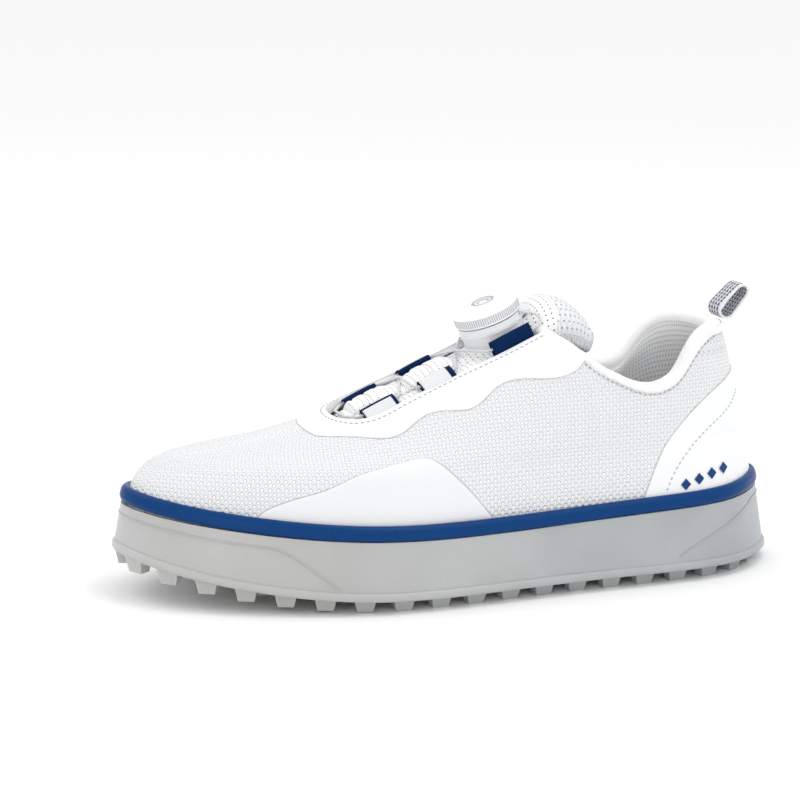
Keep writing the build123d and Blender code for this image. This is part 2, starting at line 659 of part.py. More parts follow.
with BuildPart() as dial_knob:
    with BuildSketch(Plane(origin=dial_plane.origin, x_dir=dial_plane.x_dir, z_dir=-dial_plane.y_dir)):
        with BuildLine():
            Polyline((KNOB_BORE_R, KNOB_BOTTOM), (KNOB_R - 0.4, KNOB_BOTTOM), (KNOB_R, KNOB_BOTTOM + 0.5),
                     (KNOB_R, KNOB_SHOULDER), (KNOB_R - 2.6, KNOB_TOP - 0.5))
            ThreePointArc((KNOB_R - 2.6, KNOB_TOP - 0.5), (8.5, KNOB_TOP + 0.2), (BADGE_R, KNOB_TOP + 0.4))
            Polyline((BADGE_R, KNOB_TOP + 0.4), (BADGE_R, KNOB_TOP - 0.8),
                     (SCREW_HEAD_R + 0.5, KNOB_TOP - 0.8), (SCREW_HEAD_R + 0.5, KNOB_ROOF),
                     (KNOB_BORE_R, KNOB_ROOF), (KNOB_BORE_R, KNOB_BOTTOM))
        make_face()
    revolve(axis=Axis(dial_plane.origin, dial_plane.z_dir))
    with BuildSketch(dial_plane.offset(KNOB_BOTTOM + 1.2)):
        with PolarLocations(KNOB_R + 0.12, KNOB_RIBS):
            Circle(0.32)
    extrude(amount=KNOB_SHOULDER - KNOB_BOTTOM - 1.8, mode=Mode.SUBTRACT)
    with BuildSketch(dial_plane.offset(PAWL_TOP)):
        with PolarLocations(7.5, 3, start_angle=60):
            Circle(1.2)
    extrude(amount=KNOB_ROOF - PAWL_TOP)
save(dial_knob.part, "dial_knob")

with BuildPart() as knob_badge:
    with BuildSketch(dial_plane.offset(KNOB_TOP - 0.8 + 0.02)):
        Circle(BADGE_R - 0.03)
    extrude(amount=BADGE_THICK)
    with BuildSketch(dial_plane.offset(KNOB_TOP - 0.8 + BADGE_THICK)):
        Circle(BADGE_R - 0.6)
        Circle(BADGE_R - 1.3, mode=Mode.SUBTRACT)
    extrude(amount=0.35)
save(knob_badge.part, "knob_badge")

# ---------------------------------------------------------------- lace


def loop_ends(loop, side):
    """The middles of a lace loop's rear and front openings."""
    name, x, y, z, length, reach, thick, rise = loop
    plane = loop_plane(x, y, z, side, rise)
    beyond = length / 2 + 1.5
    middle = LOOP_GAP + reach / 2
    return [plane.from_local_coords((middle, 0, -beyond)), plane.from_local_coords((middle, 0, beyond))]


def lace_strand(side):
    """One side's half of the lace: port, top loop, other middle loop, lower loop, front."""
    turn = (cos(LACE_EXIT_TURN), side * sin(LACE_EXIT_TURN))
    strand = [dial_plane.from_local_coords((r * turn[0], r * turn[1], LACE_EXIT_H))
              for r in (HOUSING_R + 0.15, HOUSING_R + 1.4)]
    strand += [Vector(at(x), side * y, z) for x, y, z in LACE_START]
    for i, loop in enumerate(LOOPS):
        strand += loop_ends(loop, side if i % 2 == 0 else -side)
        if i < len(LACE_CROSSINGS):
            x, y, z = LACE_CROSSINGS[i]
            strand.append(Vector(at(x), y, z + side * (-1) ** i * LACE_LIFT))
    x, y, z = LACE_FRONT
    strand.append(Vector(at(x), side * y, z))
    return strand


def bend_radii(points):
    """The largest arcs that fit a route's corners."""
    radii = []
    for a, b, c in zip(points, points[1:], points[2:]):
        turn = radians((b - a).get_angle(c - b))
        run = min((b - a).length, (c - b).length)
        radii.append(min(LACE_BEND, 0.45 * run / tan(turn / 2)))
    return radii


lace_route = lace_strand(1) + list(reversed(lace_strand(-1)))
with BuildPart() as lace:
    with BuildLine() as lace_line:
        FilletPolyline(*lace_route, radius=bend_radii(lace_route))
    with BuildSketch(Plane(origin=lace_line.line @ 0, z_dir=lace_line.line % 0)):
        Circle(LACE_R)
    sweep()
save(lace.part, "lace")
lace_length = lace_line.wires()[0].length
print("lace length", round(lace_length, 1), "volume", round(lace.part.volume, 1),
      "section x length", round(pi * LACE_R ** 2 * lace_length, 1))
print("lace radii", [round(r, 1) for r in bend_radii(lace_route)])

# ---------------------------------------------------------------- heel pull tab

tab_plane = Plane(origin=(at(TAB_HINGE[0]), 0, TAB_HINGE[1]),
                  x_dir=(cos(radians(TAB_LEAN)), 0, sin(radians(TAB_LEAN))), z_dir=(0, 1, 0))
with BuildPart() as heel_pull_tab:
    with BuildSketch(tab_plane):
        with Locations((TAB_LENGTH / 2 - TAB_WALL, 0)):
            SlotOverall(TAB_LENGTH, TAB_DEPTH)
            SlotOverall(TAB_LENGTH - 2 * TAB_WALL, TAB_DEPTH - 2 * TAB_WALL, mode=Mode.SUBTRACT)
    extrude(amount=TAB_WIDTH / 2, both=True)
save(heel_pull_tab.part, "heel_pull_tab")

with BuildPart() as tab_anchor:
    add(overlay_shell)
    add(box_between(-10, 40, -TAB_WIDTH / 2, TAB_WIDTH / 2, 96, 112), mode=Mode.INTERSECT)
save(tab_anchor.part, "tab_anchor")
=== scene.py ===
from math import cos, hypot, pi, radians, sin, sqrt

import bpy
import numpy as np
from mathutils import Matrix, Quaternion, Vector
from mathutils.bvhtree import BVHTree


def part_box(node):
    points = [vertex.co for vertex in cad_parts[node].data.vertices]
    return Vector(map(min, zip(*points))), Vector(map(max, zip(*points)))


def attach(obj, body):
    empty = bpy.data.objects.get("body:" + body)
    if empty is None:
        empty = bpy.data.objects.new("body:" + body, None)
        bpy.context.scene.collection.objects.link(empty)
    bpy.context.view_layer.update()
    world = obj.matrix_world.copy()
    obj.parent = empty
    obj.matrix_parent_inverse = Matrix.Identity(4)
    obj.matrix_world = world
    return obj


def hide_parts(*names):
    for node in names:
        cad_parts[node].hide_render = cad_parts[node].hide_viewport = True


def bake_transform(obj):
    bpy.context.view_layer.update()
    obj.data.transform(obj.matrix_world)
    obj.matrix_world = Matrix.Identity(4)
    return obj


# Looks of the golf shoe. Shapes are worked out in millimetres, with x measured from the back of
# the heel as in the CAD source, and turned into the frame's metres when a mesh is made.

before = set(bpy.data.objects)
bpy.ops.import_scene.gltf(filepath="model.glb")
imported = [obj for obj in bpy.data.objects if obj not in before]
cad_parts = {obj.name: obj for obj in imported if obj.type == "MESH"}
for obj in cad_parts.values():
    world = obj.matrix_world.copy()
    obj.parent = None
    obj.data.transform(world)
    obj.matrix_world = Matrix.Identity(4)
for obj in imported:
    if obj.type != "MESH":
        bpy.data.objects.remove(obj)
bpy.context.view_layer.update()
HALF_LENGTH = 150.7

# ------------------------------------------------------------------ the shoe's driving curves
FLANGE = [
    (0, 2), (10, 22), (30, 37), (60, 43.5), (95, 45.5), (130, 48.5), (165, 52), (198, 52.5),
    (228, 46.5), (256, 36.5), (280, 24), (297, 8), (304, -11), (297, -28), (280, -40.5),
    (252, -49), (215, -52), (180, -47.5), (140, -40), (100, -36), (60, -36), (28, -31), (9, -18),
]
WAIST_OUTER, WAIST_INNER = 5, 18
UPPER_INSET = 8.0
FORM_LEVELS = [
    (18.0, 8.0, 296.0, 0.00, 33), (36.0, 8.1, 295.9, 0.00, 33), (41.0, 8.6, 295.5, 0.01, 33),
    (46.0, 9.6, 294.5, 0.05, 33), (50.0, 10.2, 293.0, 0.10, 33), (54.0, 11.0, 290.5, 0.15, 33),
    (57.0, 11.7, 287.0, 0.21, 33), (59.5, 12.3, 281.0, 0.29, 33), (61.5, 12.8, 271.0, 0.36, 33),
    (64.0, 13.3, 252.0, 0.45, 33), (67.0, 14.0, 238.5, 0.53, 33), (71.0, 15.0, 223.5, 0.62, 33),
    (76.0, 16.3, 210.0, 0.71, 33), (82.0, 18.0, 196.0, 0.81, 33), (88.0, 19.7, 180.5, 0.89, 33),
    (95.0, 21.8, 163.0, 0.95, 33), (101.0, 23.9, 149.0, 0.98, 32.5), (107.0, 26.0, 136.0, 1.00, 32),
    (125.0, 31.0, 98.0, 1.00, 30),
]
TOPLINE = [(-8, 107.5), (10, 108.6), (24, 109.5), (36, 109.8), (44, 107), (50, 101.5), (54.5, 95.5),
           (59, 90.5), (65, 87.6), (72.3, 86.8), (79.7, 88.4), (87, 91.6), (94.5, 95.4),
           (104, 102), (111.4, 107.2), (117.4, 110.4), (122, 112.6), (132, 118.0), (150, 128.0)]
THROAT = [(100, 20.6), (122, 20.4), (142, 19.2), (157, 18.3), (185, 18.4), (198, 16.8), (206, 11)]
THROAT_FRONT = 209.5
WAVE = [(236, 67), (227, 69), (216, 69.8), (204, 70.3), (193, 70.2), (185, 72.5), (179, 76.5),
        (173, 79.6), (165, 80.8), (156, 81.6), (148, 86.4), (142, 90.8), (134, 93), (120, 93),
        (112, 94.4), (107, 97), (103, 101.5), (100, 106)]
HEEL_PATCH = [(-8, 96), (10, 93), (27, 87.6), (42, 80.8), (58, 68.4), (67.6, 57),
              (72.5, 46.8), (77, 34), (79, 18)]
HEEL_STITCH = [(21, 79), (25, 76.5), (29, 73.6), (39, 68), (52, 58.6), (60, 49.6), (65, 40)]
FILM = [(252, 18), (248, 43), (243, 45.7), (232, 49.6), (223, 52.3), (210, 57.6), (200, 60),
        (187, 62.6), (176, 62.6), (169, 57.9), (159, 47.9), (153, 40.9), (148, 34), (143, 18)]
STRIP_EDGE = [(-8, 35.2), (30, 33.2), (75, 31.8), (112, 30.5), (150, 29.7), (188, 29.9), (225, 31.5),
              (262, 35.1), (312, 42.2)]
WALL_TAPER = 0.17
LUG_HEIGHT, TOE_SPRING, SPRING_START = 5.5, 14.2, 190.0
TONGUE_LINE = [(210, 72.0, 65.5), (202, 76.0, 69.5), (190, 81.4, 75.0), (176, 87.4, 80.5),
               (162, 93.2, 85.8), (150, 98.7, 91.0), (141, 103.3, 95.0), (130, 109.3, 98.5),
               (122, 115.2, 102.0), (113, 122.6, 105.5), (104, 122.2, 105.0), (97, 117.6, 101.5),
               (91, 110.0, 97.0)]
TONGUE_BEND = 33.0
DIAL_AT, DIAL_TILT = (135.0, 111.5), 22.0
# each loop: name, place (x, y, z), length, reach over the tongue, thickness, rise towards the tongue
LOOPS = [("top", 131.0, 17.65, 104.6, 19.5, 6.5, 2.8, 20.0),
         ("middle", 165.0, 17.8, 90.4, 16.0, 6.5, 3.2, 0.5),
         ("lower", 190.5, 16.2, 79.4, 16.0, 6.0, 3.2, 0.5)]
LOOP_SLOPE, LOOP_GAP = 24.5, 0.3
TAB_WIDTH, TAB_WALL, TAB_LENGTH, TAB_DEPTH = 12.0, 1.1, 19.0, 9.0
TAB_HINGE, TAB_LEAN = (25.0, 111.6), 132.0
LINING_DEPTH, COLLAR_FRONT = 3.3, 121.5
THROAT_ROLL_BACK, THROAT_STITCH_BACK, STITCH_INSET = 118.5, 118.0, 2.1
PUFF_BACK, PUFF_FRONT, PUFF_PITCH = 154.0, 200.5, 5.4
TOE_LINE_BACK, TOE_LINE_FLAT, HEEL_LINE_FRONT, LINE_FOOT = 219, 246, 60, 11.5
FLOOR_HALF = 6.0


# ------------------------------------------------------------------ geometry helpers
def lengths_along(points):
    """The distance along a line of points, at each of them."""
    return np.concatenate([[0], np.cumsum(np.linalg.norm(np.diff(points, axis=0), axis=1))])


def natural(points, per):
    """A natural cubic spline through points, sampled per times between neighbours."""
    p = np.array(points, float)
    t = lengths_along(p)
    n, h = len(p), np.diff(t)
    a, b = np.eye(n), np.zeros_like(p)
    for i in range(1, n - 1):
        a[i, i - 1], a[i, i], a[i, i + 1] = h[i - 1], 2 * (h[i - 1] + h[i]), h[i]
        b[i] = 6 * ((p[i + 1] - p[i]) / h[i] - (p[i] - p[i - 1]) / h[i - 1])
    m = np.linalg.solve(a, b)
    out = []
    for i in range(n - 1):
        for k in range(per + (1 if i == n - 2 else 0)):
            s = h[i] * k / per
            u = h[i] - s
            out.append((m[i] * u ** 3 + m[i + 1] * s ** 3) / (6 * h[i])
                       + (p[i] / h[i] - m[i] * h[i] / 6) * u + (p[i + 1] / h[i] - m[i + 1] * h[i] / 6) * s)
    return np.array(out)


def curve_height(points):
    """A side view curve as a function of x."""
    dense = natural(points, 12)
    order = np.argsort(dense[:, 0])
    return lambda x: np.interp(x, dense[order, 0], dense[order, 1])


def inset(points, distance):
    moved = []
    for i, (x, y) in enumerate(points):
        ax, ay = points[i - 1]
        bx, by = points[(i + 1) % len(points)]
        size = hypot(bx - ax, by - ay)
        moved.append((x + distance * (by - ay) / size, y - distance * (bx - ax) / size))
    return moved


PER = 24


def closed(points):
    """A smooth closed outline: a toe half and a heel half, as in the CAD source."""
    toe = natural(points[WAIST_OUTER:WAIST_INNER + 1], PER)
    heel = natural(points[WAIST_INNER:] + points[:WAIST_OUTER + 1], PER)
    whole = np.vstack([toe[:-1], heel[:-1]])
    return np.roll(whole, WAIST_OUTER * PER, axis=0)


def level_outline(heel, front, change, half_width):
    base = inset(FLANGE, UPPER_INSET)
    first, last = min(x for x, y in base), max(x for x, y in base)
    contour = []
    for x, y in base:
        share = (x - first) / (last - first)
        bullet = half_width * sqrt(max(0, 1 - abs(2 * share - 1) ** 3))
        side = 1 if y > 0 else -1
        contour.append((heel + share * (front - heel), (1 - change) * y + change * side * bullet))
    return closed(contour)


LEVEL_Z = np.array([level[0] for level in FORM_LEVELS])
LEVELS = np.array([level_outline(*level[1:]) for level in FORM_LEVELS])
COLUMNS = LEVELS.shape[1]


def monotone_slopes(z, values):
    """Slopes for smooth interpolation between levels without overshoot."""
    h = np.diff(z).reshape(-1, *[1] * (values.ndim - 1))
    d = np.diff(values, axis=0) / h
    m = np.zeros_like(values)
    w1, w2 = 2 * h[1:] + h[:-1], h[1:] + 2 * h[:-1]
    same = d[:-1] * d[1:] > 0
    safe = np.where(same, w1 / np.where(d[:-1] == 0, 1, d[:-1]) + w2 / np.where(d[1:] == 0, 1, d[1:]), 1)
    m[1:-1] = np.where(same, (w1 + w2) / safe, 0)
    m[0], m[-1] = d[0], d[-1]
    return m


SLOPES = monotone_slopes(LEVEL_Z, LEVELS)


def outline_at(z):
    """The upper's outline at height z, one point per column."""
    i = int(np.clip(np.searchsorted(LEVEL_Z, z) - 1, 0, len(LEVEL_Z) - 2))
    h = LEVEL_Z[i + 1] - LEVEL_Z[i]
    t = (z - LEVEL_Z[i]) / h
    return ((2 * t ** 3 - 3 * t ** 2 + 1) * LEVELS[i] + (t ** 3 - 2 * t ** 2 + t) * h * SLOPES[i]
            + (-2 * t ** 3 + 3 * t ** 2) * LEVELS[i + 1] + (t ** 3 - t ** 2) * h * SLOPES[i + 1])


def row_heights(low, step):
    rows = []
    for i in range(len(LEVEL_Z) - 1):
        gap = np.linalg.norm(LEVELS[i + 1] - LEVELS[i], axis=1).max()
        count = int(max(gap, LEVEL_Z[i + 1] - LEVEL_Z[i]) / step) + 1
        rows += [LEVEL_Z[i] + (LEVEL_Z[i + 1] - LEVEL_Z[i]) * k / count for k in range(count)]
    return [z for z in rows if z >= low] + [LEVEL_Z[-1]]


ROWS = np.array(row_heights(26.0, 1.5))
FORM = np.array([np.column_stack([outline_at(z), np.full(COLUMNS, z)]) for z in ROWS])


def grid_normals(grid):
    du = np.roll(grid, -1, axis=1) - np.roll(grid, 1, axis=1)
    dv = np.gradient(grid, axis=0)
    n = np.cross(dv, du)
    size = np.linalg.norm(n, axis=2, keepdims=True)
    return n / np.where(size < 1e-9, 1, size)


NORMALS = grid_normals(FORM)
if (NORMALS[5, 3 * PER] * (0, 1, 0)).sum() < 0:
    NORMALS = -NORMALS


def surface_sizes():
    du = np.linalg.norm(np.roll(FORM, -1, axis=1) - np.roll(FORM, 1, axis=1), axis=2)
    dv = np.linalg.norm(np.gradient(FORM, axis=0), axis=2) * 2
    return np.maximum(du, 1e-3), np.maximum(dv, 1e-3)


SIZE_U, SIZE_V = surface_sizes()


def in_mm(field):
    """A field over the form scaled so that near its zero line it measures distance in mm."""
    fu = (np.roll(field, -1, axis=1) - np.roll(field, 1, axis=1)) / SIZE_U
    fv = np.gradient(field, axis=0) * 2 / SIZE_V
    return field / np.maximum(np.sqrt(fu ** 2 + fv ** 2), 0.25)


def polygon_distance(px, py, polygon):
    """Signed distance to a closed polygon, positive inside."""
    a = np.array(polygon, float)
    b = np.roll(a, -1, axis=0)
    best = np.full(px.shape, 1e9)
    inside = np.zeros(px.shape, bool)
    for (ax, ay), (bx, by) in zip(a, b):
        dx, dy = bx - ax, by - ay
        t = np.clip(((px - ax) * dx + (py - ay) * dy) / (dx * dx + dy * dy + 1e-12), 0, 1)
        best = np.minimum(best, np.hypot(px - ax - t * dx, py - ay - t * dy))
        crosses = ((ay > py) != (by > py)) & (px < (bx - ax) * (py - ay) / (by - ay + 1e-12) + ax)
        inside ^= crosses
    return np.where(inside, best, -best)


topline = curve_height(TOPLINE)
wave = curve_height(WAVE)
throat_curve = natural(THROAT + [(THROAT_FRONT, 0)] + [(x, -y) for x, y in reversed(THROAT)], 10)
X, Y, Z = FORM[..., 0], FORM[..., 1], FORM[..., 2]
BELOW_TOP = in_mm(topline(X) - Z)
OUTSIDE_THROAT = -polygon_distance(X, Y, throat_curve)
NOSE = 13.0 + 2.0 * np.maximum(0, 206 - X) - OUTSIDE_THROAT
heel_polygon = [tuple(p) for p in natural(HEEL_PATCH, 8)] + [(-8, 18)]
film_polygon = [tuple(p) for p in natural(FILM, 8)]


class Patch:
    """Triangles with a height field's worth of values at each point, which can be cut."""

    def __init__(self, points, normals, fields, triangles):
        self.points, self.normals, self.fields, self.triangles = points, normals, fields, triangles

    def cut(self, name):
        """Keeps where field name is positive, cutting triangles along its zero line."""
        f = self.fields[name]
        inside = f[self.triangles] > 0
        count = inside.sum(axis=1)
        kept = [self.triangles[count == 3]]
        names = list(self.fields)
        data = np.column_stack([self.points, self.normals] + [self.fields[k] for k in names])
        new, made, extra = {}, [], []

        def between(a, b):
            key = (a, b) if a < b else (b, a)
            if key not in new:
                t = f[key[0]] / (f[key[0]] - f[key[1]])
                new[key] = len(data) + len(made)
                made.append(data[key[0]] * (1 - t) + data[key[1]] * t)
            return new[key]

        for row in np.nonzero((count == 1) | (count == 2))[0]:
            tri, ins = self.triangles[row], inside[row]
            lone = int(np.nonzero(ins if count[row] == 1 else ~ins)[0][0])
            a, b, c = (int(tri[(lone + k) % 3]) for k in range(3))
            ab, ac = between(a, b), between(a, c)
            if count[row] == 1:
                extra.append((a, ab, ac))
            else:
                extra += [(ab, b, c), (ab, c, ac)]
        data = np.vstack([data, np.array(made).reshape(-1, data.shape[1])])
        tris = np.vstack(kept + [np.array(extra, int).reshape(-1, 3)])
        used, tris = np.unique(tris, return_inverse=True)
        data = data[used]
        fields = {k: data[:, 6 + i] for i, k in enumerate(names)}
        return Patch(data[:, :3], data[:, 3:6], fields, tris.reshape(-1, 3))

    def moved(self, height):
        size = np.linalg.norm(self.normals, axis=1, keepdims=True)
        return self.points + self.normals / size * np.reshape(height, (-1, 1))


def grid_triangles(rows, columns, wrap):
    i, j = np.meshgrid(np.arange(rows - 1), np.arange(columns if wrap else columns - 1), indexing="ij")
    a = i * columns + j
    b = i * columns + (j + 1) % columns
    c, d = a + columns, b + columns
    return np.vstack([np.stack([a, b, d], -1).reshape(-1, 3), np.stack([a, d, c], -1).reshape(-1, 3)])


def side_girth():
    """How far up the side each point lies, measured round its own cross-section."""
    stations = np.arange(0, 305, 1.5)
    result = np.zeros(X.shape)
    for side in (1, -1):
        reach = np.full((len(ROWS), len(stations)), np.nan)
        for r in range(len(ROWS)):
            part = side * Y[r] > (0 if side > 0 else 6.0)
            xs, ys = X[r][part], Y[r][part]
            order = np.argsort(xs)
            reach[r] = np.interp(stations, xs[order], ys[order], left=np.nan, right=np.nan)
        total = np.zeros(reach.shape)
        for r in range(1, len(ROWS)):
            dy = np.nan_to_num(np.abs(reach[r] - reach[r - 1]), nan=0.6)
            total[r] = total[r - 1] + np.hypot(np.minimum(dy, 4.0), ROWS[r] - ROWS[r - 1])
        for r in range(len(ROWS)):
            pick = (Y[r] > 0) if side > 0 else (Y[r] <= 0)
            result[r][pick] = np.interp(X[r][pick], stations, total[r])
    return result


def round_the_toe():
    """How far along its own level line each point lies, measured so that it is x at x = 150."""
    result = np.zeros(X.shape)
    tip = int(np.argmax(X[0]))
    for r in range(len(ROWS)):
        line = np.roll(FORM[r], -tip, axis=0)
        steps = np.linalg.norm(np.roll(line, -1, axis=0) - line, axis=1)
        ahead = np.concatenate([[0], np.cumsum(steps)[:-1]])
        back = int(np.argmin(line[:, 0]))
        away = np.where(np.arange(COLUMNS) <= back, ahead, steps.sum() - ahead)
        along = np.zeros(COLUMNS)
        for part in (np.arange(COLUMNS) <= back, np.arange(COLUMNS) > back):
            order = np.argsort(line[part, 0])
            along[part] = 150 + np.interp(150, line[part, 0][order], away[part][order]) - away[part]
        result[r] = np.roll(along, tip)
    return result


def smoothed(field, times=40):
    """Evens out small jumps between neighbours on the form."""
    for _ in range(times):
        beside = np.roll(field, 1, axis=1) + np.roll(field, -1, axis=1)
        above = np.vstack([field[1:], field[-1:]]) + np.vstack([field[:1], field[:-1]])
        field = 0.5 * field + 0.125 * (beside + above)
    return field


GIRTH = smoothed(side_girth())
AROUND = smoothed(round_the_toe(), 10)
FIELDS = {"top": BELOW_TOP, "throat": OUTSIDE_THROAT, "eye": np.minimum(in_mm(Z - wave(X)), NOSE),
          "heel": in_mm(polygon_distance(X, Z, heel_polygon)),
          "film": in_mm(polygon_distance(X, Z, film_polygon)),
          "side": Y, "front": X - 140.0, "u": AROUND, "v": GIRTH}
form_patch = Patch(FORM.reshape(-1, 3), NORMALS.reshape(-1, 3),
                   {k: f.reshape(-1) for k, f in FIELDS.items()}, grid_triangles(len(ROWS), COLUMNS, True))


def to_frame(points):
    return (np.asarray(points, float) - (HALF_LENGTH, 0, 0)) / 1000


def new_mesh(name, points, faces, uv=None, material=None, smooth=True):
    mesh = bpy.data.meshes.new(name)
    mesh.from_pydata(to_frame(points).tolist(), [], [tuple(int(i) for i in f) for f in faces])
    if uv is not None:
        layer = mesh.uv_layers.new(name="UVMap")
        loops = np.zeros(len(mesh.loops), int)
        mesh.loops.foreach_get("vertex_index", loops)
        layer.data.foreach_set("uv", (np.asarray(uv, float)[loops] / 100).astype(np.float32).ravel())
    mesh.validate()
    mesh.update()
    piece = bpy.data.objects.new(name, mesh)
    bpy.context.scene.collection.objects.link(piece)
    if smooth:
        mesh.polygons.foreach_set("use_smooth", [True] * len(mesh.polygons))
    if material:
        mesh.materials.append(material)
    return piece


def ridden(piece, body, slot, *nodes):
    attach(piece, body)
    if nodes:
        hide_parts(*nodes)
    return piece


# ------------------------------------------------------------------ materials
def shade(color, share):
    return tuple(c * share for c in color)


class Look:
    """One material being made: its nodes, its shader and short ways to join them."""

    def __init__(self, name, color, rough, **inputs):
        self.mat = bpy.data.materials.new(name)
        self.mat.use_nodes = True
        self.tree = self.mat.node_tree
        self.shader = self.tree.nodes["Principled BSDF"]
        self.shader.inputs["Base Color"].default_value = (*color, 1)
        self.shader.inputs["Roughness"].default_value = rough
        for key, value in inputs.items():
            self.shader.inputs[key.replace("_", " ")].default_value = value

    def make(self, kind, values=None, **settings):
        node = self.tree.nodes.new(kind)
        for key, value in settings.items():
            setattr(node, key, value)
        for key, value in (values or {}).items():
            node.inputs[key].default_value = value
        return node

    def link(self, a, b):
        self.tree.links.new(a, b)

    def drive(self, socket, value):
        """Feeds a worked-out value into one of the shader's inputs."""
        self.link(value, self.shader.inputs[socket])

    def math(self, kind, a, b=None):
        node = self.make("ShaderNodeMath", operation=kind)
        for i, value in enumerate((a, b)):
            if value is None:
                continue
            if isinstance(value, (int, float)):
                node.inputs[i].default_value = value
            else:
                self.link(value, node.inputs[i])
        return node.outputs[0]

    def times(self, a, b):
        return self.math("MULTIPLY", a, b)

    def plus(self, a, b):
        return self.math("ADD", a, b)

    def minus(self, a, b):
        return self.math("SUBTRACT", a, b)

    def ramp(self, value, low, high, out_low=0.0, out_high=1.0):
        values = {1: low, 2: high, 3: out_low, 4: out_high}
        node = self.make("ShaderNodeMapRange", values, interpolation_type="SMOOTHSTEP")
        self.link(value, node.inputs[0])
        return node.outputs[0]

    def mixed(self, share, color_a, color_b):
        node = self.make("ShaderNodeMix", data_type="RGBA")
        self.link(share, node.inputs[0])
        for socket, color in ((node.inputs[6], color_a), (node.inputs[7], color_b)):
            if isinstance(color, tuple):
                socket.default_value = (*color, 1)
            else:
                self.link(color, socket)
        return node.outputs[2]

    def uv_mm(self):
        """The piece's own coordinates in millimetres, as two values."""
        uv = self.make("ShaderNodeUVMap")
        split = self.make("ShaderNodeSeparateXYZ")
        self.link(uv.outputs[0], split.inputs[0])
        return [self.times(split.outputs[i], 100.0) for i in (0, 1)]

    def noise(self, scale, detail=3.0, rough=0.5):
        coords = self.make("ShaderNodeTexCoord")
        noise = self.make("ShaderNodeTexNoise", {"Scale": scale, "Detail": detail, "Roughness": rough})
        self.link(coords.outputs["Object"], noise.inputs["Vector"])
        return noise.outputs["Fac"]

    def bumped(self, height, distance, strength=1.0, under=None):
        node = self.make("ShaderNodeBump", {"Strength": strength, "Distance": distance})
        self.link(height, node.inputs["Height"])
        if under is not None:
            self.link(under, node.inputs["Normal"])
        self.drive("Normal", node.outputs[0])

    def half_cos(self, value, period):
        c = self.math("COSINE", self.times(value, 2 * pi / period))
        return self.plus(self.times(c, 0.5), 0.5)

    def dots(self, u, v, pitch_u, pitch_v, radius, stagger=False):
        """A lattice of round dots: 1 in a dot and 0 outside."""
        row = self.math("DIVIDE", v, pitch_v)
        column = self.math("DIVIDE", u, pitch_u)
        if stagger:
            odd = self.times(self.math("FLOORED_MODULO", self.math("ROUND", row), 2.0), 0.5)
            column = self.plus(column, odd)
        fu = self.times(self.minus(column, self.math("ROUND", column)), pitch_u)
        fv = self.times(self.minus(row, self.math("ROUND", row)), pitch_v)
        r = self.math("SQRT", self.plus(self.times(fu, fu), self.times(fv, fv)))
        return self.ramp(r, radius * 1.25, radius * 0.75)


def beaded_textile():
    m = Look("textile_beads", (0.80, 0.82, 0.84), 0.48, Sheen_Weight=0.15)
    u, v = m.uv_mm()
    wobble = m.times(m.minus(m.noise(60.0), 0.5), 0.5)
    u = m.plus(u, wobble)
    a = m.half_cos(m.plus(u, v), 3.4)
    b = m.half_cos(m.minus(u, v), 3.4)
    bead = m.ramp(m.times(a, b), 0.0, 0.72)
    grain = m.noise(1600.0, 4.0)
    # painted highlight and shade: the bead tops are coloured lighter and the hollows between the beads
    # darker, as the light and shade on the relief
    m.drive("Base Color", m.mixed(bead, (0.73, 0.745, 0.765), (0.90, 0.905, 0.91)))
    m.drive("Roughness", m.ramp(bead, 0.0, 1.0, 0.62, 0.40))
    fine = m.make("ShaderNodeBump", {"Strength": 0.12, "Distance": 0.00008})
    m.link(grain, fine.inputs["Height"])
    m.bumped(bead, 0.0006, 1.0, fine.outputs[0])
    return m.mat


def smooth_overlay(name, color=(0.84, 0.845, 0.855), rough=0.42):
    m = Look(name, color, rough, Coat_Weight=0.06)
    # painted shade: a thin dark line from 0.05 to 0.75 mm in from the film's edge, where it rounds down to
    # the textile
    edge = m.ramp(m.uv_mm()[1], 0.05, 0.75)
    soft = m.noise(25.0)
    tone = m.mixed(soft, shade(color, 0.965), color)
    m.drive("Base Color", m.mixed(edge, shade(color, 0.45), tone))
    grain = m.noise(900.0, 5.0, 0.6)
    m.drive("Roughness", m.ramp(grain, 0.3, 0.7, rough - 0.05, rough + 0.08))
    m.bumped(grain, 0.00006, 0.5)
    return m.mat


def knit(name, color, hole, pitch=(1.9, 2.4), depth=0.0004):
    """Spacer mesh: ribs with small round holes in them."""
    m = Look(name, color, 0.9, Sheen_Weight=0.3)
    u, v = m.uv_mm()
    holes = m.dots(u, v, pitch[0], pitch[1], 0.42, stagger=True)
    ribs = m.half_cos(u, pitch[0])
    grain = m.noise(1400.0, 3.0)
    # painted shade: the valleys between the ribs are darker and the holes are filled with the flat hole
    # colour, as the shade in them
    tone = m.mixed(ribs, shade(color, 0.9), color)
    m.drive("Base Color", m.mixed(holes, tone, hole))
    height = m.minus(m.times(ribs, 0.4), holes)
    height = m.plus(height, m.times(grain, 0.25))
    m.bumped(height, depth, 0.8)
    return m.mat


def fine_knit(name, color):
    m = Look(name, color, 0.85, Sheen_Weight=0.35)
    u, v = m.uv_mm()
    ribs = m.times(m.half_cos(u, 0.9), m.half_cos(v, 1.1))
    grain = m.noise(1500.0, 3.0)
    # painted shade: darker between the ribs, where the bump sinks
    m.drive("Base Color", m.mixed(ribs, shade(color, 0.86), color))
    m.bumped(m.plus(ribs, m.times(grain, 0.5)), 0.0002, 0.7)
    return m.mat


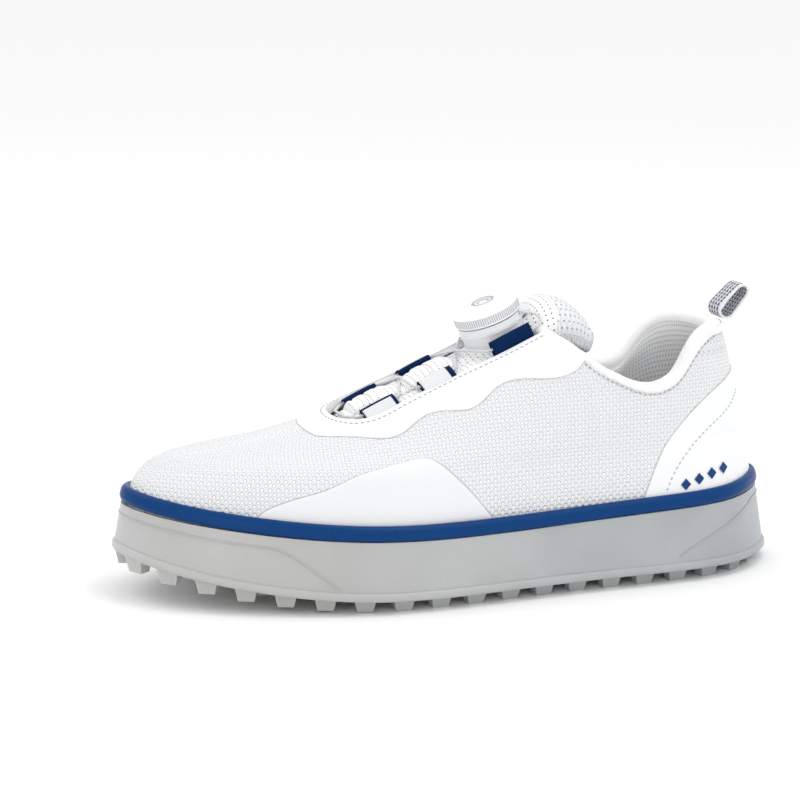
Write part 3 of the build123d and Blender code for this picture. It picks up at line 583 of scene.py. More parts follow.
def perforated_leather(name, pitch_u, pitch_v, radius, color=(0.86, 0.86, 0.87)):
    m = Look(name, color, 0.46, Coat_Weight=0.05)
    u, v = m.uv_mm()
    hole = m.dots(u, v, pitch_u, pitch_v, radius)
    coords = m.make("ShaderNodeTexCoord")
    cells = m.make("ShaderNodeTexVoronoi", {"Scale": 900.0}, feature="DISTANCE_TO_EDGE")
    m.link(coords.outputs["Object"], cells.inputs["Vector"])
    grain = m.ramp(cells.outputs["Distance"], 0.0, 0.12)
    tone = m.mixed(m.noise(40.0), shade(color, 0.95), color)
    # painted shade: the holes are filled with near black, as the shade inside them
    m.drive("Base Color", m.mixed(hole, tone, (0.06, 0.06, 0.07)))
    fine = m.make("ShaderNodeBump", {"Strength": 0.25, "Distance": 0.00008})
    m.link(grain, fine.inputs["Height"])
    m.bumped(m.minus(1.0, hole), 0.0003, 0.8, fine.outputs[0])
    return m.mat


def plain_plastic(name, color, rough, scale=700.0, depth=0.00003, **inputs):
    m = Look(name, color, rough, **inputs)
    grain = m.noise(scale, 4.0, 0.6)
    soft = m.noise(30.0)
    m.drive("Base Color", m.mixed(soft, shade(color, 0.94), color))
    m.drive("Roughness", m.ramp(grain, 0.3, 0.7, rough * 0.9, rough * 1.15))
    m.bumped(grain, depth, 0.5)
    return m.mat


def webbing(name, color, ridge=0.55):
    """Grosgrain: fine ribs across the ribbon."""
    m = Look(name, color, 0.75, Specular_IOR_Level=0.08)
    u, v = m.uv_mm()
    ribs = m.half_cos(u, ridge)
    yarn = m.half_cos(m.plus(v, m.times(u, 0.5)), 0.5)
    noise = m.noise(700.0, 3.0)
    tone = m.times(ribs, m.plus(m.times(yarn, 0.4), 0.6))
    # painted highlight and shade: the rib tops are lighter than the ribbon's colour and the valleys much
    # darker
    m.drive("Base Color", m.mixed(tone, shade(color, 0.45), tuple(min(1, c * 1.15) for c in color)))
    m.bumped(m.plus(tone, m.times(noise, 0.3)), 0.00018, 0.9)
    return m.mat


def tab_webbing():
    """White webbing with four dark blue twisted yarns running along it."""
    m = Look("tab_webbing", (0.84, 0.84, 0.85), 0.7, Sheen_Weight=0.2)
    u, v = m.uv_mm()
    fine = m.half_cos(u, 0.7)
    line = m.minus(v, m.times(m.math("ROUND", m.math("DIVIDE", m.minus(v, 1.25), 2.5)), 2.5))
    line = m.math("ABSOLUTE", m.minus(line, 1.25))
    near = m.ramp(line, 0.95, 0.75)
    inside = m.ramp(m.math("ABSOLUTE", v), 5.1, 4.9)
    dash = m.ramp(m.half_cos(m.plus(u, m.times(line, 1.2)), 1.9), 0.10, 0.22)
    navy = m.times(m.times(near, inside), dash)
    # painted shade: the white is darker between the fine ribs; the navy yarns are the webbing's own colour
    white = m.mixed(fine, (0.72, 0.73, 0.75), (0.86, 0.86, 0.87))
    m.drive("Base Color", m.mixed(navy, white, (0.012, 0.022, 0.10)))
    m.bumped(m.plus(fine, near), 0.0002, 0.8)
    return m.mat


def translucent_rubber():
    m = Look("sole_rubber", (0.42, 0.43, 0.44), 0.38, Coat_Weight=0.1,
                                    Subsurface_Weight=0.25, Subsurface_Scale=0.004)
    m.shader.inputs["Subsurface Radius"].default_value = (1.0, 0.95, 0.85)
    coords = m.make("ShaderNodeTexCoord")
    split = m.make("ShaderNodeSeparateXYZ")
    m.link(coords.outputs["Object"], split.inputs[0])
    toe = m.ramp(split.outputs[0], -0.15, 0.14)
    tone = m.mixed(toe, (0.33, 0.35, 0.365), (0.43, 0.43, 0.415))
    cloud = m.ramp(m.noise(22.0, 4.0), 0.3, 0.75)
    tone = m.mixed(m.times(cloud, 0.35), tone, (0.52, 0.53, 0.54))
    specks = m.make("ShaderNodeTexVoronoi", {"Scale": 420.0, "Randomness": 1.0})
    m.link(coords.outputs["Object"], specks.inputs["Vector"])
    spot = m.ramp(specks.outputs["Distance"], 0.16, 0.07)
    rare = m.ramp(m.noise(260.0, 2.0), 0.60, 0.70)
    spot = m.times(spot, rare)
    m.drive("Base Color", m.mixed(spot, tone, (0.62, 0.63, 0.65)))
    grain = m.noise(500.0, 4.0)
    m.drive("Roughness", m.ramp(grain, 0.3, 0.7, 0.32, 0.46))
    m.bumped(grain, 0.00006, 0.5)
    return m.mat


def dial_height_and_turn(m):
    """Height along the dial's axis in mm, distance from it in mm, and the turn round it."""
    coords = m.make("ShaderNodeTexCoord")
    lean = radians(DIAL_TILT)
    found = []
    for axis in ((sin(lean), 0, cos(lean)), (cos(lean), 0, -sin(lean)), (0, 1, 0)):
        moved = m.make("ShaderNodeVectorMath", operation="SUBTRACT")
        m.link(coords.outputs["Object"], moved.inputs[0])
        moved.inputs[1].default_value = ((DIAL_AT[0] - HALF_LENGTH) / 1000, 0, DIAL_AT[1] / 1000)
        share = m.make("ShaderNodeVectorMath", operation="DOT_PRODUCT")
        m.link(moved.outputs[0], share.inputs[0])
        share.inputs[1].default_value = axis
        found.append(m.times(share.outputs["Value"], 1000.0))
    height, a, b = found
    squares = m.plus(m.times(a, a), m.times(b, b))
    return height, m.math("SQRT", squares), m.math("ARCTAN2", b, a)


def knob_plastic():
    m = Look("knob_plastic", (0.84, 0.845, 0.86), 0.34, Coat_Weight=0.1)
    height, away, turn = dial_height_and_turn(m)
    ribs = m.math("COSINE", m.times(turn, 90.0))
    band = m.times(m.ramp(height, 4.9, 5.2), m.ramp(height, 8.6, 8.3))
    band = m.times(band, m.ramp(away, 14.0, 14.4))
    groove = m.times(m.ramp(ribs, 0.1, -0.7), band)
    foot = m.ramp(height, 4.5, 4.2)
    rim = m.times(m.ramp(away, 5.5, 5.2), m.ramp(away, 4.4, 4.8))
    # painted shade: the grip grooves are darkened as the shade in them
    dark = m.math("MAXIMUM", m.times(groove, 0.75), foot)
    dark = m.math("MAXIMUM", dark, m.times(rim, 0.8))
    grain = m.noise(900.0, 4.0)
    m.drive("Base Color", m.mixed(dark, (0.84, 0.845, 0.86), (0.34, 0.35, 0.38)))
    m.drive("Roughness", m.ramp(grain, 0.3, 0.7, 0.30, 0.42))
    m.bumped(m.minus(m.times(grain, 0.05), groove), 0.0004, 0.8)
    return m.mat


def badge_plastic():
    """A plain disc with one ring on it."""
    m = Look("badge_grey", (0.74, 0.76, 0.80), 0.25, Coat_Weight=0.4)
    away = dial_height_and_turn(m)[1]
    ring = m.times(m.ramp(away, 2.0, 2.2), m.ramp(away, 2.9, 2.7))
    ring = m.math("MAXIMUM", ring, m.ramp(away, 3.9, 4.1))
    grain = m.noise(600.0, 3.0)
    # painted shade: the sunk ring and the disc's edge are darkened as the shade in them
    m.drive("Base Color", m.mixed(ring, (0.74, 0.76, 0.80), (0.30, 0.31, 0.35)))
    m.bumped(m.minus(m.times(grain, 0.05), ring), 0.0002, 0.6)
    return m.mat


def braided(name, color):
    m = Look(name, color, 0.6, Sheen_Weight=0.15)
    coords = m.make("ShaderNodeTexCoord")
    cells = m.make("ShaderNodeTexVoronoi", {"Scale": 1500.0})
    m.link(coords.outputs["Object"], cells.inputs["Vector"])
    tone = m.ramp(cells.outputs["Distance"], 0.0, 0.6)
    # painted shade: darker between the strands of the braid, where the bump sinks
    m.drive("Base Color", m.mixed(tone, color, shade(color, 0.7)))
    m.bumped(m.minus(1.0, tone), 0.00012, 0.8)
    return m.mat


BLUE = (0.001, 0.042, 0.170)
TEXTILE = beaded_textile()
OVERLAY = smooth_overlay("overlay_film")
SIDE_FILM = smooth_overlay("side_film", (0.78, 0.785, 0.795), 0.46)
LINING = knit("lining_mesh", (0.92, 0.925, 0.93), (0.50, 0.50, 0.52))
BINDING = fine_knit("binding_knit", (0.95, 0.95, 0.955))
TONGUE_MESH = knit("tongue_mesh", (0.74, 0.75, 0.77), (0.34, 0.35, 0.38), (2.6, 3.0), 0.0006)
TONGUE_LEATHER = perforated_leather("tongue_leather", 2.6, 2.6, 0.34)
STRIP_LEATHER = perforated_leather("strip_leather", 2.7, 1.7, 0.27, (0.88, 0.88, 0.89))
RUBBER = translucent_rubber()
STRIP_BLUE = plain_plastic("strip_blue", BLUE, 0.3, 120.0, 0.00004, Specular_IOR_Level=0.12)
MARK_BLUE = plain_plastic("mark_blue", BLUE, 0.4, Specular_IOR_Level=0.2)
WEB_BLUE = webbing("webbing_blue", (0.002, 0.024, 0.105))
DIAL_WHITE = plain_plastic("dial_white", (0.80, 0.81, 0.83), 0.36)
DIAL_GREY = plain_plastic("dial_grey", (0.42, 0.43, 0.46), 0.4)
BADGE = badge_plastic()
KNOB = knob_plastic()
STEEL = plain_plastic("screw_steel", (0.55, 0.55, 0.57), 0.3, Metallic=1.0)
FOAM = plain_plastic("foam", (0.78, 0.78, 0.76), 0.8, 400.0, 0.0002)
THREAD = plain_plastic("thread", (0.34, 0.35, 0.38), 0.6, 2500.0, 0.0001)
LACE = braided("lace_braid", (0.85, 0.85, 0.86))
TAB_WEB = tab_webbing()
LOOP_FACE = fine_knit("loop_face", (0.78, 0.79, 0.81))


# ------------------------------------------------------------------ the upper's skins
def skin(name, patch, height, uv, material, slot, *nodes):
    piece = new_mesh(name, patch.moved(height), patch.triangles, uv, material)
    return ridden(piece, "shoe", slot, *nodes)


def soft_step(value, low, high):
    t = np.clip((value - low) / (high - low), 0, 1)
    return t * t * (3 - 2 * t)


def uv_of(patch, across):
    return np.column_stack([patch.fields["u"], patch.fields[across]])


def film(name, patch, field, rise, edge, material, slot, node):
    """A thin smooth piece on the textile, rounded down to it at its edge."""
    height = 0.02 + rise * soft_step(patch.fields[field], 0, edge)
    skin(name, patch, height, uv_of(patch, field), material, slot, node)


open_form = form_patch.cut("top").cut("throat")
skin("upper_textile_skin", open_form, 0.0, uv_of(open_form, "v"), TEXTILE, "textile_white", "upper_textile")
film("eyestay_skin", open_form.cut("eye"), "eye", 0.58, 0.9, OVERLAY, "overlay_white", "eyestay_overlay")
film("heel_overlay_skin", open_form.cut("heel"), "heel", 0.58, 0.9, OVERLAY, "overlay_white", "heel_overlay")
film_all = open_form.cut("film").cut("front")
for side, name in ((1, "lateral"), (-1, "medial")):
    film_all.fields["this_side"] = side * film_all.fields["side"]
    film(f"side_film_{name}", film_all.cut("this_side"), "film", 0.36, 1.2, SIDE_FILM, "film_white",
         f"sidewall_film_{name}")
lining_piece = new_mesh("inner_lining", open_form.moved(-LINING_DEPTH), open_form.triangles[:, ::-1],
                        uv_of(open_form, "v"), LINING)
ridden(lining_piece, "shoe", "lining_grey", "vamp_lining", "quarter_lining")


# ------------------------------------------------------------------ paths on the form
form_tree = BVHTree.FromPolygons([tuple(p) for p in form_patch.points],
                                 [tuple(int(i) for i in t) for t in form_patch.triangles])


def drop_on(x, y):
    """The point on the form straight below (x, y), with its normal."""
    hit, normal = form_tree.ray_cast(Vector((x, y, 160)), Vector((0, 0, -1)))[:2]
    normal = normal if normal.z > 0 else -normal
    return np.array(hit), np.array(normal)


def side_on(x, z, side):
    """The point on the form's side at (x, z), with its normal."""
    hit, normal = form_tree.ray_cast(Vector((x, side * 90, z)), Vector((0, -side, 0)))[:2]
    if hit is None:
        return None
    normal = normal if normal.y * side > 0 else -normal
    return np.array(hit), np.array(normal)


def even(points, step):
    """Points spaced evenly along a line of points."""
    p = np.array(points, float)
    t = lengths_along(p)
    s = np.linspace(0, t[-1], max(2, int(round(t[-1] / step)) + 1))
    return np.column_stack([np.interp(s, t, p[:, k]) for k in range(p.shape[1])])


def top_path(drop):
    """The line round the collar, drop below its edge: column, point and outward normal of each place."""
    points = []
    for c in range(COLUMNS):
        gap = topline(X[:, c]) - drop - Z[:, c]
        crossing = np.nonzero((gap[:-1] > 0) & (gap[1:] <= 0))[0]
        if len(crossing) == 0:
            continue
        r = crossing[0]
        t = gap[r] / (gap[r] - gap[r + 1])
        point = FORM[r, c] * (1 - t) + FORM[r + 1, c] * t
        if point[0] < COLLAR_FRONT:
            points.append((c, point, NORMALS[r, c] * (1 - t) + NORMALS[r + 1, c] * t))
    points.sort(key=lambda item: (item[0] + COLUMNS // 2) % COLUMNS)
    return points


def profile_mesh(name, rings, material, close=False):
    """A skin through rings of points, with its coordinates in mm along and across."""
    grid = np.array(rings, float)
    rows, columns = grid.shape[:2]
    along = lengths_along(grid.mean(axis=1))
    steps = np.linalg.norm(np.diff(grid, axis=1), axis=2)
    across = np.concatenate([np.zeros((rows, 1)), np.cumsum(steps, axis=1)], axis=1)
    uv = np.stack([np.repeat(along[:, None], columns, 1), across], -1).reshape(-1, 2)
    i, j = np.meshgrid(np.arange(rows - 1), np.arange(columns if close else columns - 1), indexing="ij")
    a = i * columns + j
    b = i * columns + (j + 1) % columns
    faces = np.stack([a, b, b + columns, a + columns], -1).reshape(-1, 4)
    return new_mesh(name, grid.reshape(-1, 3), faces, uv, material)


# collar: a padded roll round the opening, from the outer edge over the top and down inside
collar_path = top_path(0.0)


def collar_width(x):
    return np.interp(x, [0, 26, 40, 70, 84, 96, 122], [6.0, 6.6, 8.2, 8.6, 6.6, 4.6, 3.6])


binding_rings, inner_rings = [], []
for column, point, normal in collar_path:
    level = np.array([normal[0], normal[1], 0.0])
    level /= np.linalg.norm(level)
    wide = collar_width(point[0])
    ring = []
    for into, up in ((-0.42, -2.6), (-0.62, -2.2), (-0.66, -1.2), (-0.3, -0.1), (wide * 0.12, 0.75),
                     (wide * 0.32, 1.25), (wide * 0.55, 1.3), (wide * 0.78, 0.75), (wide * 0.95, -0.35),
                     (wide * 1.03, -1.9), (wide * 1.05, -3.6)):
        ring.append(point - level * into + (0, 0, up))
    binding_rings.append(ring)
    ring = [point - level * wide * 1.02 + (0, 0, -LINING_DEPTH)]
    floor = 34.0
    for k in range(1, 30):
        z = (point[2] - LINING_DEPTH) + (floor - point[2] + LINING_DEPTH) * k / 29
        outline = outline_at(z)[column]
        down = point[2] - z
        padding = 3.9 + (wide - 3.9) * (1 - soft_step(down, 14, 42)) + 1.3 * np.exp(-((down - 10) / 7) ** 2)
        ring.append(np.array([outline[0], outline[1], z]) - level * padding)
    inner_rings.append(ring)
binding = profile_mesh("collar_binding_roll", binding_rings, BINDING)
ridden(binding, "shoe", "binding_white", "collar_binding")
inner_collar = profile_mesh("collar_padded_lining", inner_rings, LINING)
ridden(inner_collar, "shoe", "lining_grey", "collar_foam", "collar_lining")

# throat: the folded edge of the eyestay, with the tongue passing below it
throat_edge = even(throat_curve, 1.2)


def beside_throat(k, away):
    """The place away from the throat's edge at its point k: point, normal and the way out in plan."""
    x, y = throat_edge[k]
    ahead = throat_edge[min(k + 1, len(throat_edge) - 1)] - throat_edge[max(k - 1, 0)]
    plan = np.array([-ahead[1], ahead[0]]) / np.linalg.norm(ahead)
    if plan[0] * (x - 165) + plan[1] * y < 0:
        plan = -plan
    here, normal = drop_on(x + plan[0] * away, y + plan[1] * away)
    return here, normal, plan


edge_rings = []
for k in range(len(throat_edge)):
    if throat_edge[k][0] < THROAT_ROLL_BACK:
        continue
    here, normal, plan = beside_throat(k, 0.3)
    out = np.array([plan[0], plan[1], 0.0])
    out = out - normal * out.dot(normal)
    out /= np.linalg.norm(out)
    ring = []
    for o, h in ((2.0, 0.50), (1.2, 0.70), (0.5, 0.74), (0.05, 0.55), (-0.22, 0.1), (-0.3, -0.6),
                 (-0.3, -1.8), (-0.2, -2.8), (0.3, -3.5), (1.4, -3.8)):
        ring.append(here + out * o + normal * h)
    edge_rings.append(ring)
throat_roll = profile_mesh("throat_edge", edge_rings, OVERLAY)
# moves the folded edge's coordinates past the overlay's painted edge shade
for item in throat_roll.data.uv_layers[0].data:
    item.uv.y = item.uv.y + 0.02
ridden(throat_roll, "shoe", "overlay_white")


# ------------------------------------------------------------------ stitching
# rings along one stitch: place along it, share of its radius, rise
STITCH_SHAPE = [(-0.5, 0.25, -0.5), (-0.36, 0.85, 0.0), (0.0, 1.0, 0.28), (0.36, 0.85, 0.0),
                (0.5, 0.25, -0.5)]


def capsule_run(name, points, normals, pitch, length, radius, lift, body="shoe", slot="binding_white"):
    """Separate thread stitches along a line on a surface."""
    placed = even(np.column_stack([points, normals]), pitch)
    verts, faces = [], []
    for k in range(len(placed) - 1):
        start, end = placed[k, :3], placed[k + 1, :3]
        along = end - start
        size = np.linalg.norm(along)
        if size < 1e-6:
            continue
        along /= size
        normal = placed[k, 3:] / np.linalg.norm(placed[k, 3:])
        across = np.cross(normal, along)
        middle = (start + end) / 2 + normal * lift
        base = len(verts)
        for s, r, h in STITCH_SHAPE:
            for q in range(6):
                turn = pi * q / 3
                verts.append(middle + along * s * length + across * cos(turn) * r * radius
                             + normal * (sin(turn) * r * 0.8 + h) * radius)
        for a in range(4):
            first = base + a * 6
            for q in range(6):
                after = (q + 1) % 6
                faces.append((first + q, first + after, first + 6 + after, first + 6 + q))
        faces.append(tuple(base + q for q in range(5, -1, -1)))
        faces.append(tuple(base + 24 + q for q in range(6)))
    piece = new_mesh(name, np.array(verts), faces, None, THREAD)
    return ridden(piece, body, slot)


stitch_points, stitch_normals = [], []
for column, point, normal in top_path(3.6):
    stitch_points.append(point)
    stitch_normals.append(normal)
capsule_run("stitches_collar", stitch_points, stitch_normals, 2.5, 1.8, 0.22, 0.08)
throat_points, throat_normals = [], []
for k in range(len(throat_edge)):
    if throat_edge[k][0] < THROAT_STITCH_BACK:
        continue
    here, normal, plan = beside_throat(k, STITCH_INSET)
    throat_points.append(here)
    throat_normals.append(normal)
capsule_run("stitches_throat", throat_points, throat_normals, 2.5, 1.7, 0.24, 0.66)
for side, name in ((1, "lateral"), (-1, "medial")):
    found = [side_on(x, z, side) for x, z in natural(HEEL_STITCH, 8)]
    found = [f for f in found if f is not None]
    capsule_run(f"stitches_heel_{name}", [f[0] for f in found], [f[1] for f in found], 2.6, 1.6, 0.24, 0.66)

# ------------------------------------------------------------------ sole strip
base_outline = closed(FLANGE)
plan_step = np.roll(base_outline, -1, axis=0) - np.roll(base_outline, 1, axis=0)
plan_out = np.column_stack([-plan_step[:, 1], plan_step[:, 0]])
plan_out /= np.linalg.norm(plan_out, axis=1, keepdims=True)
if plan_out[3 * PER][1] < 0:
    plan_out = -plan_out
strip_low = curve_height(STRIP_EDGE)
strip_rings = []
for k in list(range(COLUMNS)) + [0]:
    x, y = base_outline[k]
    low = strip_low(x)
    lean = WALL_TAPER * (low - LUG_HEIGHT)
    ring = []
    for out, up in ((-7.0, 0.05), (-1.2, 0.0), (-0.25, 0.25), (0.35, 1.0), (0.62, 2.1), (0.55, 3.2),
                    (0.36, 3.5), (0.34, 3.7), (0.1, 4.8), (-0.5, 5.9), (-1.3, 6.5), (-2.6, 6.6),
                    (-3.4, 6.0), (-4.4, 5.6), (-7.4, 5.6)):
        ring.append((x + plan_out[k][0] * (out - lean), y + plan_out[k][1] * (out - lean), low + up))
    strip_rings.append(ring)
strip = profile_mesh("strip_ring", strip_rings, STRIP_BLUE)
ridden(strip, "shoe", "strip_blue", "blue_strip")


def wall_point(k, z, out):
    """A point on the cup's leaning wall at column k."""
    x, y = base_outline[k]
    lean = WALL_TAPER * (z - LUG_HEIGHT)
    return (x + plan_out[k][0] * (out - lean), y + plan_out[k][1] * (out - lean), z)


def bottom_height(x):
    return LUG_HEIGHT + TOE_SPRING * max(0.0, (x - SPRING_START) / 110.0) ** 2


lip_rings = []
for k in list(range(COLUMNS)) + [0]:
    z = bottom_height(base_outline[k][0])
    lip_rings.append([wall_point(k, z + up, out) for out, up in
                      ((-1.0, 0.1), (0.15, 0.05), (0.75, 0.5), (0.9, 1.6), (0.85, 2.8), (0.55, 3.4),
                       (0.05, 3.65), (-1.0, 3.7))])
lip = profile_mesh("sole_lip", lip_rings, RUBBER)
ridden(lip, "shoe", "outsole_grey")

# thin raised lines on the cup's wall, round the toe and round the heel, that run down to the lip
toe_lines, heel_lines = [], []
tip_column = int(np.argmax(base_outline[:, 0]))
for k in range(COLUMNS):
    c = (k + tip_column + COLUMNS // 2) % COLUMNS
    x = base_outline[c][0]
    if x > TOE_LINE_BACK:
        fall = np.clip((TOE_LINE_FLAT - x) / 26, 0, 1)
        height = (strip_low(x) - 5) * (1 - fall ** 1.4) + LINE_FOOT * fall ** 1.4
        toe_lines.append(wall_point(c, height, 0.12))
for k in range(COLUMNS):
    c = (k + tip_column) % COLUMNS
    x = base_outline[c][0]
    if x < HEEL_LINE_FRONT:
        rise = np.clip((HEEL_LINE_FRONT - x) / 48, 0, 1)
        heel_lines.append(wall_point(c, LINE_FOOT + (strip_low(x) - 15.5) * rise ** 0.8, 0.12))

# ------------------------------------------------------------------ tongue
TONGUE_PLAN = [(91, 12), (95, 14.5), (100, 16.5), (104, 17.8), (110, 18.3), (116, 18), (124, 17.4),
               (132, 17.2), (140, 17.4), (150, 16.9), (174, 16.9), (184, 16.2), (192, 15.0),
               (200, 12.5), (206, 9.5), (210, 8)]


def tongue_half(x):
    return np.interp(x, *zip(*TONGUE_PLAN))


def tongue_section(x, top, under, puff=0.0):
    """One closed section of the tongue, bent over its crown."""
    half = tongue_half(x)
    thick = top - under
    ring = []
    for k in range(64):
        turn = 2 * pi * k / 64
        c, s = cos(turn), sin(turn)
        y = half * abs(c) ** 0.55 * (1 if c > 0 else -1)
        h = (thick / 2) * abs(s) ** 0.6 * (1 if s > 0 else -1)
        drop = TONGUE_BEND - sqrt(max(0.0, TONGUE_BEND ** 2 - y * y))
        ring.append((x, y, (top + under) / 2 + h - drop + puff * (1 - (y / half) ** 2)))
    return ring


top_curve = natural([(x, t) for x, t, u in TONGUE_LINE], 10)
under_curve = natural([(x, u) for x, t, u in TONGUE_LINE], 10)
tongue_rings = []
for k in range(len(top_curve)):
    x = top_curve[k][0]
    if x > 206 or x < 94.0:
        continue
    tongue_rings.append(tongue_section(x, top_curve[k][1], under_curve[k][1], 0.4 if x < 128 else 0.0))
last = tongue_rings[-1][0][0]
last_k = int(np.argmin(abs(top_curve[:, 0] - last)))
mid = (top_curve[last_k][1] + under_curve[last_k][1]) / 2
half_thick = (top_curve[last_k][1] - under_curve[last_k][1]) / 2
for turn in (20, 40, 60, 75, 88):
    share = cos(radians(turn))
    tongue_rings.append([(x - 3.0 * sin(radians(turn)), y * (0.9 + 0.1 * share), mid + (z - mid) * share)
                         for x, y, z in tongue_section(last, mid + half_thick, mid - half_thick)])
seam_index = min(range(len(tongue_rings)), key=lambda k: abs(tongue_rings[k][0][0] - 110.5))
tongue_leather = profile_mesh("tongue_leather_panel", tongue_rings[:seam_index + 1], TONGUE_LEATHER,
                              close=True)
ridden(tongue_leather, "tongue", "leather_white", "tongue_face", "tongue_foam", "tongue_lining")
tongue_pad = profile_mesh("tongue_mesh_pad", tongue_rings[seam_index:], TONGUE_MESH, close=True)
ridden(tongue_pad, "tongue", "mesh_grey", "tongue_mesh_top")


def tongue_top(x, y):
    """Height of the tongue's face."""
    order = np.argsort(top_curve[:, 0])
    z = np.interp(x, top_curve[order, 0], top_curve[order, 1])
    return z - (TONGUE_BEND - sqrt(max(0.0, TONGUE_BEND ** 2 - y * y)))


def tube(name, points, radius, material, sides):
    """A closed tube along a line of points."""
    p = np.array(points, float)
    rings = []
    for k in range(len(p)):
        along = p[min(k + 1, len(p) - 1)] - p[max(k - 1, 0)]
        along /= np.linalg.norm(along)
        side = np.cross(along, (0, 0, 1.0) if abs(along[2]) < 0.9 else (1.0, 0, 0))
        side /= np.linalg.norm(side)
        up = np.cross(side, along)
        turns = [2 * pi * q / sides for q in range(sides)]
        rings.append([p[k] + (side * cos(t) + up * sin(t)) * radius for t in turns])
    return profile_mesh(name, rings, material, close=True)


for points, name in ((toe_lines, "toe"), (heel_lines, "heel")):
    ridden(tube(f"sole_line_{name}", even(points, 1.5), 0.28, RUBBER, 8), "shoe", "outsole_grey")
piping = tube("tongue_piping", even(tongue_rings[seam_index][:33], 0.8), 0.75, BINDING, 8)
ridden(piping, "tongue", "binding_white")

# raised centre strip: puffy segments between sewn channels
strip_grid = []
for i in range(161):
    x = PUFF_FRONT - (PUFF_FRONT - PUFF_BACK) * i / 160
    half = np.interp(x, (PUFF_BACK, 180, 192, PUFF_FRONT), (9.8, 9.6, 8.6, 7.0))
    row = []
    for j in range(33):
        y = half * (j / 16 - 1)
        edge = max(0.0, min(1.0, (half - abs(y)) / 1.2, (PUFF_FRONT - x) / 1.2, (x - PUFF_BACK) / 1.2))
        channel = abs(((x - PUFF_BACK) / PUFF_PITCH) % 1.0 - 0.5) * 2
        crossed = np.exp(-((x - 177.3) / 6.5) ** 4)
        high = 3.3 - 2.0 * max(crossed, (158.5 - x) / 4.5 if x < 158.5 else 0.0)
        puff = high * edge ** 0.5 * (1 - 0.45 * channel ** 5) * (1 - 0.2 * (y / half) ** 2)
        row.append((x, y, tongue_top(x, y) - 0.2 + puff))
    strip_grid.append(row)
strip_piece = profile_mesh("tongue_strip_puffed", strip_grid, STRIP_LEATHER)
ridden(strip_piece, "tongue", "leather_white", "tongue_strip")
for side, name in ((1, "outer"), (-1, "inner")):
    line = [(x, side * 10.4, tongue_top(x, 10.4) + 0.05) for x in np.arange(155, 190, 1.0)]
    capsule_run(f"stitches_tongue_{name}", line, [(0.4, side * 0.2, 0.9)] * len(line), 2.4, 1.7, 0.22, 0.1,
                "tongue", "leather_white")


# ------------------------------------------------------------------ lace loops
def loop_axes(x, y, z, side, rise):
    along = Vector((cos(radians(LOOP_SLOPE)), 0, -sin(radians(LOOP_SLOPE))))
    inwards = Vector((0, -side, rise))
    inwards = (inwards - along * inwards.dot(along)).normalized()
    return np.array((x, side * y, z)), np.array(inwards), np.array(along.cross(inwards)), np.array(along)


def lifted(piece, sewn, free, slot, *nodes):
    """A soft piece, baked in place where it is made, with the CAD nodes it stands for hidden."""
    if nodes:
        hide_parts(*nodes)
    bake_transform(piece)


for name, x, y, z, length, reach, thick, rise in LOOPS:
    for side, side_name in ((1, "lateral"), (-1, "medial")):
        origin, inwards, across, along = loop_axes(x, y, z, side, rise)
        outward = across if across[2] > 0 or name == "top" else -across
        if name == "top":
            outward = across if across[1] * side > 0 else -across
        half = thick / 2 if name == "top" else 1.2
        fold = reach + LOOP_GAP
        if name == "top":
            path = [(-4.0, 0.9), (-2.0, 1.2), (0.5, half + 0.1), (fold - 2.5, half + 0.15),
                    (fold - 0.7, half * 0.75), (fold, 0.0), (fold - 0.7, -half * 0.75),
                    (fold - 2.5, -half), (0.5, -half + 0.1), (-1.5, -0.6)]
        else:
            path = [(-3.0, -0.9), (-1.2, 0.4), (0.6, half - 0.3), (2.6, half + 0.1),
                    (fold - 1.6, half - 0.1), (fold - 0.4, half * 0.6), (fold, 0.0),
                    (fold - 0.5, -half * 0.7), (fold - 2.0, -half), (1.0, -half), (-1.5, -half - 0.2)]
        line = natural(path, 5)
        rings = []
        for e in np.linspace(-0.5, 0.5, 15):
            bow = 0.25 * (1 - (2 * e) ** 2)
            rings.append([origin + inwards * a + outward * (b + (bow if b > 0 else 0)) + along * e * length
                          for a, b in line])
        ribbon = profile_mesh(f"loop_{side_name}_{name}", np.array(rings).transpose(1, 0, 2), WEB_BLUE)
        solid = ribbon.modifiers.new("thickness", "SOLIDIFY")
        solid.thickness, solid.offset = 0.00055, 0
        sewn, free = (0, side * (y + 0.2) / 1000, 0), (0, side * (y - 4.5) / 1000, 0)
        lifted(ribbon, sewn, free, "webbing_blue", f"lace_loop_{side_name}_{name}")
        if name == "top":
            continue
        last = fold - 2.2 if name == "lower" else fold - 0.4
        first_end = -0.40 if name == "lower" else -0.34
        kept = [(a, b) for a, b in line if a <= last and b > -0.3 and a > -2.0]
        rings = []
        for e in np.linspace(first_end, 0.47, 13):
            bow = 0.25 * (1 - (2 * e) ** 2)
            rings.append([origin + inwards * (a * 1.02) + outward * (b + 0.42 + bow) + along * e * length
                          for a, b in kept])
        grid = np.array(rings).transpose(1, 0, 2)
        cover = profile_mesh(f"loop_face_{side_name}_{name}", grid, LOOP_FACE)
        solid = cover.modifiers.new("thickness", "SOLIDIFY")
        solid.thickness, solid.offset = 0.0004, 0
        lifted(cover, sewn, free, "binding_white")

